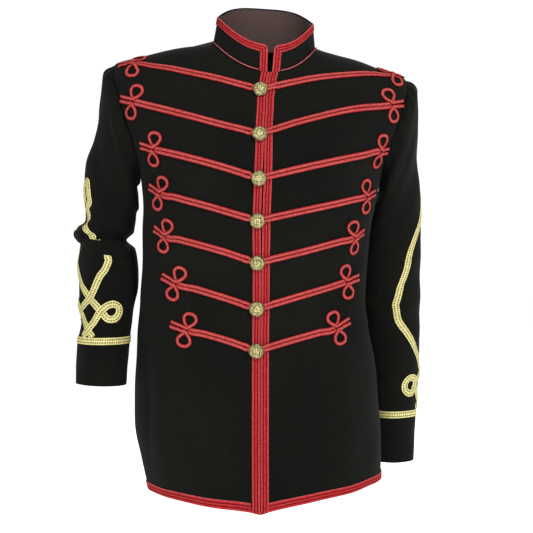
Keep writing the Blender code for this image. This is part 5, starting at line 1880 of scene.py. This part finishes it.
@dataclass
class Frog:
    """Half of a row of frogging: doubled cord from the button out to a figure-of-eight knot."""

    form: BodyForm
    tailor: Tailor
    number: int
    side: Side
    row: dict[str, float]
    cord: RoundCord = field(default_factory=RoundCord)
    lane: float = 0.0029
    lane_points: int = 8
    aim_share: float = 0.3
    fine_step: float = 0.0004
    rise_from: float = 0.0035
    rise_length: float = 0.0025
    lane_crowding: float = 1.3
    knot_high: float = 0.0220
    knot_wide: float = 0.0128
    knot_points: int = 9
    knot_foot: float = 0.0034
    knot_room: float = 0.017
    tail: float = 0.029
    shortest_tail: float = 0.019
    tail_from_armhole: float = 0.02
    shank_loop: float = 0.0058
    shank_loop_turns: tuple[int, ...] = (150, 100, 50)

    def _tail_length(self, end: Spot) -> float:
        """How long the tails can be before they come to the armhole."""
        length = self.tail
        while length > self.shortest_tail:
            angle, level = end.reach(length, 0.0)
            edge = math.pi / 2 - float(self.form.armhole_inset(level)) if level > ARMPIT else math.pi
            if abs(angle) < edge - self.tail_from_armhole:
                break
            length -= 0.001
        return length

    def _past_braid(self, spot: Spot) -> float:
        """How far out from the button a cord comes clear of the wearer's left front braid."""
        along, clear = BRAID_WIDTH, False
        while not clear:
            along += 0.001
            angle, level = spot.reach(along, self.lane + self.cord.width / 2)
            edge = float(self.form.edge(Side.LEFT, level)) + BRAID_WIDTH
            clear = self.form.plain(angle, level)[0] > edge
        return along

    def _flat_knot(self, tails: float) -> list[tuple[float, float, int]]:
        """Half of the knot laid flat, from the lane outwards: (along, up, lift)."""
        path = [(-0.009, self.lane, 0), (0.0, self.knot_foot, 0)]
        for i in range(1, self.knot_points + 1):
            turn = i / (self.knot_points + 1)
            along = self.knot_wide * math.sin(2 * math.pi * turn) * math.sin(math.pi * turn)
            up = self.knot_foot + self.knot_high * (1 - math.cos(2 * math.pi * turn)) / 2
            path.append((along, up, 1 if i == self.knot_points else 0))
        foot = self.knot_foot
        return path + [(0.0, foot, 1), (0.0065, foot, 1), (0.0125, foot, 0), (tails, self.lane + 0.001, 0)]

    def stations(self) -> list[tuple[float, float, float]]:
        """The cord's route from one tail, round the button and out to the other tail."""
        word = self.side.word
        level = -self.row["button_down"]
        opening = float(self.form.profile.at(level)["opening"])
        start = np.array([opening - BUTTON_FROM_OPENING, level])
        knot, tail = (
            np.array([self.side.value * self.row[f"{word}_{part}out"], -self.row[f"{word}_{part}down"]])
            for part in ("", "tail_")
        )
        bow = np.array([0.0, self.row[f"{word}_bow"]])

        def on_bow(share: float) -> np.ndarray:
            """A point of the bowed line from the button to the knot."""
            return start + (knot - start) * share + bow * 4 * share * (1 - share)

        centre = Spot(self.form, start, on_bow(self.aim_share), self.side)
        end = Spot(self.form, knot, tail, self.side)
        tails = self._tail_length(end)
        halves = []
        for half in (1, -1):
            route = []
            if self.side is Side.LEFT:
                for turn in self.shank_loop_turns:
                    along, up = math.cos(math.radians(turn)), half * math.sin(math.radians(turn))
                    route.append(centre.reach(self.shank_loop * along, self.shank_loop * up))
                clear = self._past_braid(centre)
                near = ((0.0100, self.lane), (clear, self.lane), (clear + 0.007, self.lane))
            else:
                near = ((0.0116, self.lane * 0.7), (0.0140, self.lane), (0.0240, self.lane))
            route += [centre.reach(along, half * up) for along, up in near]
            span = float(np.linalg.norm(knot - start))
            first = near[-1][0] / span
            for i in range(1, self.lane_points):
                share = first + (1 - first) * (1 - (1 - i / self.lane_points) ** self.lane_crowding)
                if share > 1 - self.knot_room / span:
                    continue
                here, ahead = on_bow(share), on_bow(share + 0.05)
                route.append(Spot(self.form, here, ahead, self.side).reach(0.0, half * self.lane))
            lifted = [(*place, 0.0) for place in route]
            for along, up, lift in self._flat_knot(tails):
                lifted.append((*end.reach(along, half * up), lift * (CORD_THICK + OVER)))
            halves.append(lifted)
        return halves[0][::-1] + halves[1]

    def build(self) -> None:
        """Makes the frog's cord."""
        route = np.array(self.stations())
        lengths = along_length(self.form.plain(route[:, 0], route[:, 1]))
        fine = smoothed(route, lengths, self.fine_step)
        fine[:, 1] = np.clip(fine[:, 1], HEM, 0.0)
        length = along_length(self.form.plain(fine[:, 0], fine[:, 1]))
        even = np.linspace(0, length[-1], int(length[-1] / self.cord.spacing))
        angle, level, lift = (np.interp(even, length, fine[:, n]) for n in range(3))
        lift = np.clip(lift, 0, CORD_THICK + OVER)
        x = self.form.plain(angle, level)[:, 0]
        opening = self.form.profile.at(level)["opening"]
        over_braid = smooth_step((BRAID_WIDTH + self.rise_from - abs(x - opening)) / self.rise_length)
        out = SEWN_ON + self.cord.height / 2 + lift + over_braid * (SEWN_ON + BRAID)
        points = self.form.on(angle, level, out)
        rings, laid, raised = self.cord.rings(points, self.form.normal(angle, level))
        self.tailor.loft(f"frog_{self.side.word}_{self.number}", rings, CORDING, laid, raised)


@dataclass
class Button:
    """A domed gilt button, stamped with a plain rosette inside a pebbled ring."""

    form: BodyForm
    tailor: Tailor
    number: int
    down: float
    steps: int = 96
    dome_mm: tuple[tuple[float, float], ...] = ((0.0, 10.3), (4.6, 9.7), (8.4, 8.0), (10.9, 5.8))
    rim_mm: tuple[tuple[float, float], ...] = ((11.25, 5.75), (11.5, 5.3), (11.4, 4.85), (10.9, 4.5))
    back_mm: tuple[tuple[float, float], ...] = ((6.0, 4.5), (2.4, 4.5), (2.2, 3.2), (2.4, 1.95), (0.2, 1.95))
    beads_mm: tuple[float, float] = (9.45, 7.25)
    bead_points: int = 73
    petals: int = 8
    pebbles: int = 20

    def relief(self, radius: np.ndarray, turn: np.ndarray) -> np.ndarray:
        """The stamped relief of the dome, in millimetres.

        Args:
            radius: distances from the middle, in millimetres.
            turn: angles round it.

        Returns:
            How far the face stands up.
        """

        def ridge(middle: float, width: float) -> np.ndarray:
            """A ring that stands up at one distance from the middle."""
            return np.exp(-(((radius - middle) / width) ** 2))

        leaf = np.sin(np.pi * np.clip((radius - 1.4) / 3.9, 0, 1)) ** 0.8
        petal = abs(np.cos(self.petals / 2 * turn)) ** 0.7 * leaf
        eye = np.clip(1.5 - radius, 0, 1) ** 0.5
        ring = ridge(5.9, 0.32)
        inner = abs(np.sin(self.pebbles / 2 * turn)) * ridge(7.1, 0.55)
        outer = abs(np.sin(self.pebbles / 2 * turn + np.pi / 2)) * ridge(8.5, 0.55)
        rope = ridge(10.3, 0.45) * (0.65 + 0.35 * np.cos(44 * turn + 5 * radius))
        return 0.75 * petal + 0.6 * eye + 0.5 * ring + 0.75 * (inner + outer) + 0.5 * rope

    def build(self) -> tuple[np.ndarray, np.ndarray]:
        """Makes the button.

        Returns:
            The line of its beaded edge, and the directions off it.
        """
        level = -self.down
        opening = float(self.form.profile.at(level)["opening"])
        angle, level = self.form.seen_at(opening - BUTTON_FROM_OPENING, level)
        dome = Profile(("height",), *zip(*((r, (h,)) for r, h in self.dome_mm)))
        radius = np.linspace(0.15, self.dome_mm[-1][0], 40)
        turn = 2 * np.pi * np.arange(self.steps) / self.steps
        stamped = self.relief(radius[:, None], turn[None, :])
        top = dome.read(radius)[:, :1] + stamped - 0.25
        # painted shade in the low parts of the stamping; the rim and back below take a fixed middling value
        mask = np.clip((stamped - 0.12) / 0.4, 0, 1)
        rest = np.array(self.rim_mm + self.back_mm)
        radii = np.concatenate([radius, rest[:, 0]])[:, None]
        heights = np.vstack([top, np.broadcast_to(rest[:, 1:], (len(rest), self.steps))])
        mask = np.vstack([mask, np.full((len(rest), self.steps), 0.45)])
        local = np.stack(np.broadcast_arrays(radii * np.cos(turn), radii * np.sin(turn), heights), -1) / 1000
        normal = Vector(self.form.normal(angle, level))
        turned = normal.to_track_quat("Z", "Y").to_matrix().to_4x4()
        frame = np.array(Matrix.Translation(Vector(self.form.on(angle, level))) @ turned)
        rings = local @ frame[:3, :3].T + frame[:3, 3]
        self.tailor.loft(f"button_{self.number}", rings, GILT, None, mask)
        turn = np.linspace(0, 2 * np.pi, self.bead_points)
        radius, height = self.beads_mm
        circle = [radius * np.cos(turn), radius * np.sin(turn), np.full(self.bead_points, height)]
        circle = np.stack(circle, -1) / 1000
        return circle @ frame[:3, :3].T + frame[:3, 3], np.tile(np.array(normal), (self.bead_points, 1))


@dataclass
class Studio:
    """The camera, the lights and a plain pale floor."""

    eye: tuple[float, float, float] = (-0.0963, -2.4234, -0.2012)
    aim: tuple[float, float, float] = (0.0095, 0.0, -0.346)
    lens: float = 103.56
    floor_level: float = -0.95
    floor_size: float = 14.0
    background: float = 0.42
    floor_glow: float = 0.62
    lamps: tuple[tuple[str, tuple[float, float, float], float, float], ...] = (
        ("key", (1.1, -2.3, 2.0), 0.45, 70.0),
        ("fill", (-1.9, -1.9, 0.3), 1.8, 14.0),
        ("back", (0.6, 2.2, 1.2), 1.6, 30.0),
    )

    def build(self) -> None:
        """Makes everything that isn't part of the tunic."""
        scene = bpy.context.scene
        camera = bpy.data.objects.new("camera", bpy.data.cameras.new("camera"))
        camera.data.lens = self.lens
        camera.location = self.eye
        camera.rotation_euler = self._facing(self.eye, self.aim)
        scene.collection.objects.link(camera)
        scene.camera = camera
        scene.view_settings.view_transform = "Standard"
        scene.world = self._sky()
        for lamp in self.lamps:
            self._lamp(*lamp)
        mesh = bpy.data.meshes.new("floor")
        half = self.floor_size / 2
        corners = [(-half, -half), (half, -half), (half, half), (-half, half)]
        mesh.from_pydata([(x, y, self.floor_level) for x, y in corners], [], [(0, 1, 2, 3)])
        material = bpy.data.materials.new("pale_floor")
        material.use_nodes = True
        shader = material.node_tree.nodes["Principled BSDF"]
        shader.inputs["Base Color"].default_value = (0.92, 0.92, 0.92, 1.0)
        shader.inputs["Roughness"].default_value = 0.9
        shader.inputs["Emission Color"].default_value = (1.0, 1.0, 1.0, 1.0)
        shader.inputs["Emission Strength"].default_value = self.floor_glow
        mesh.materials.append(material)
        floor = bpy.data.objects.new("floor", mesh)
        scene.collection.objects.link(floor)

    def _sky(self) -> bpy.types.World:
        """A white backdrop for the camera, which lights the tunic more softly."""
        world = bpy.data.worlds.new("studio")
        world.use_nodes = True
        desk = NodeDesk(world.node_tree)
        seen, output = world.node_tree.nodes["Background"], world.node_tree.nodes["World Output"]
        lit = desk.node("ShaderNodeBackground")
        for background, strength in ((seen, 1.05), (lit, self.background)):
            background.inputs["Color"].default_value = (1.0, 1.0, 1.0, 1.0)
            background.inputs["Strength"].default_value = strength
        mix, path = desk.node("ShaderNodeMixShader"), desk.node("ShaderNodeLightPath")
        desk.join(path.outputs["Is Camera Ray"], mix.inputs[0])
        desk.join(lit.outputs[0], mix.inputs[1])
        desk.join(seen.outputs[0], mix.inputs[2])
        desk.join(mix.outputs[0], output.inputs["Surface"])
        return world

    @staticmethod
    def _facing(eye: Sequence[float], aim: Sequence[float]) -> "Vector":
        """The turn that points an object's -Z from one place at another."""
        return (Vector(aim) - Vector(eye)).to_track_quat("-Z", "Y").to_euler()

    def _lamp(self, name: str, place: tuple[float, float, float], size: float, power: float) -> None:
        """A soft square light that shines at the tunic."""
        data = bpy.data.lights.new(name, "AREA")
        data.size, data.energy = size, power
        lamp = bpy.data.objects.new(name, data)
        lamp.location = place
        lamp.rotation_euler = self._facing(place, self.aim)
        bpy.context.scene.collection.objects.link(lamp)


def main() -> None:
    """Builds the tunic and its studio."""
    logging.basicConfig(level=logging.INFO, format="%(message)s")
    dyer = Dyer()
    form, tailor, rows = BodyForm(), Tailor(dyer), StitchRows()
    Studio().build()
    BodyPanels(form, tailor).build()
    red_lines = EdgeBraids(form, tailor).build() + Collar(form, tailor).build()
    right = SleeveForm(form, Side.RIGHT, SLEEVE_RIGHT, RIGHT_SLEEVE_FOLDS, RIGHT_SLEEVE_TUCKS)
    left = SleeveForm(form, Side.LEFT, SLEEVE_LEFT, LEFT_SLEEVE_FOLDS)
    flats = {"top": (0.19, 0.52, 0.0838), "under": (0.11, 0.42, 0.0387)}
    gold_lines = Sleeve(
        right, tailor, apex=0.310, raised=0.0, wide=0.56, eye_out=0.038, middle=RIGHT_KNOT_MIDDLE, flats=flats
    ).build()
    flats = {"top": (0.20, 0.62, 0.1035), "under": (0.12, 0.52, 0.0510)}
    gold_lines += Sleeve(
        left, tailor, apex=0.465, raised=0.010, wide=0.97, eye_out=0.033, middle=LEFT_KNOT_MIDDLE, flats=flats
    ).build()
    rims = []
    for number, values in enumerate(FROG_ROWS, 1):
        row = dict(zip(FROG_COLUMNS, values))
        for side in Side:
            Frog(form, tailor, number, side, row).build()
        rims.append(Button(form, tailor, number, row["button_down"]).build())
    sewn = (
        ("braid_stitches", red_lines, BRAIDING, (0.0034, 0.0018, 0.0005)),
        ("lace_stitches", gold_lines, GOLD_LACE, (0.0034, 0.0016, 0.0005)),
        ("button_beads", rims, GILT, (0.00165, 0.0011, 0.0011)),
    )
    for name, lines, finish, sizes in sewn:
        values = dict(zip(("Spacing", "Length", "Thickness"), sizes))
        tailor.stands_for(rows.sew(name, lines, dyer.dye(finish), **values), finish)
    bpy.context.view_layer.update()


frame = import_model()

if __name__ == "__main__":
    main()
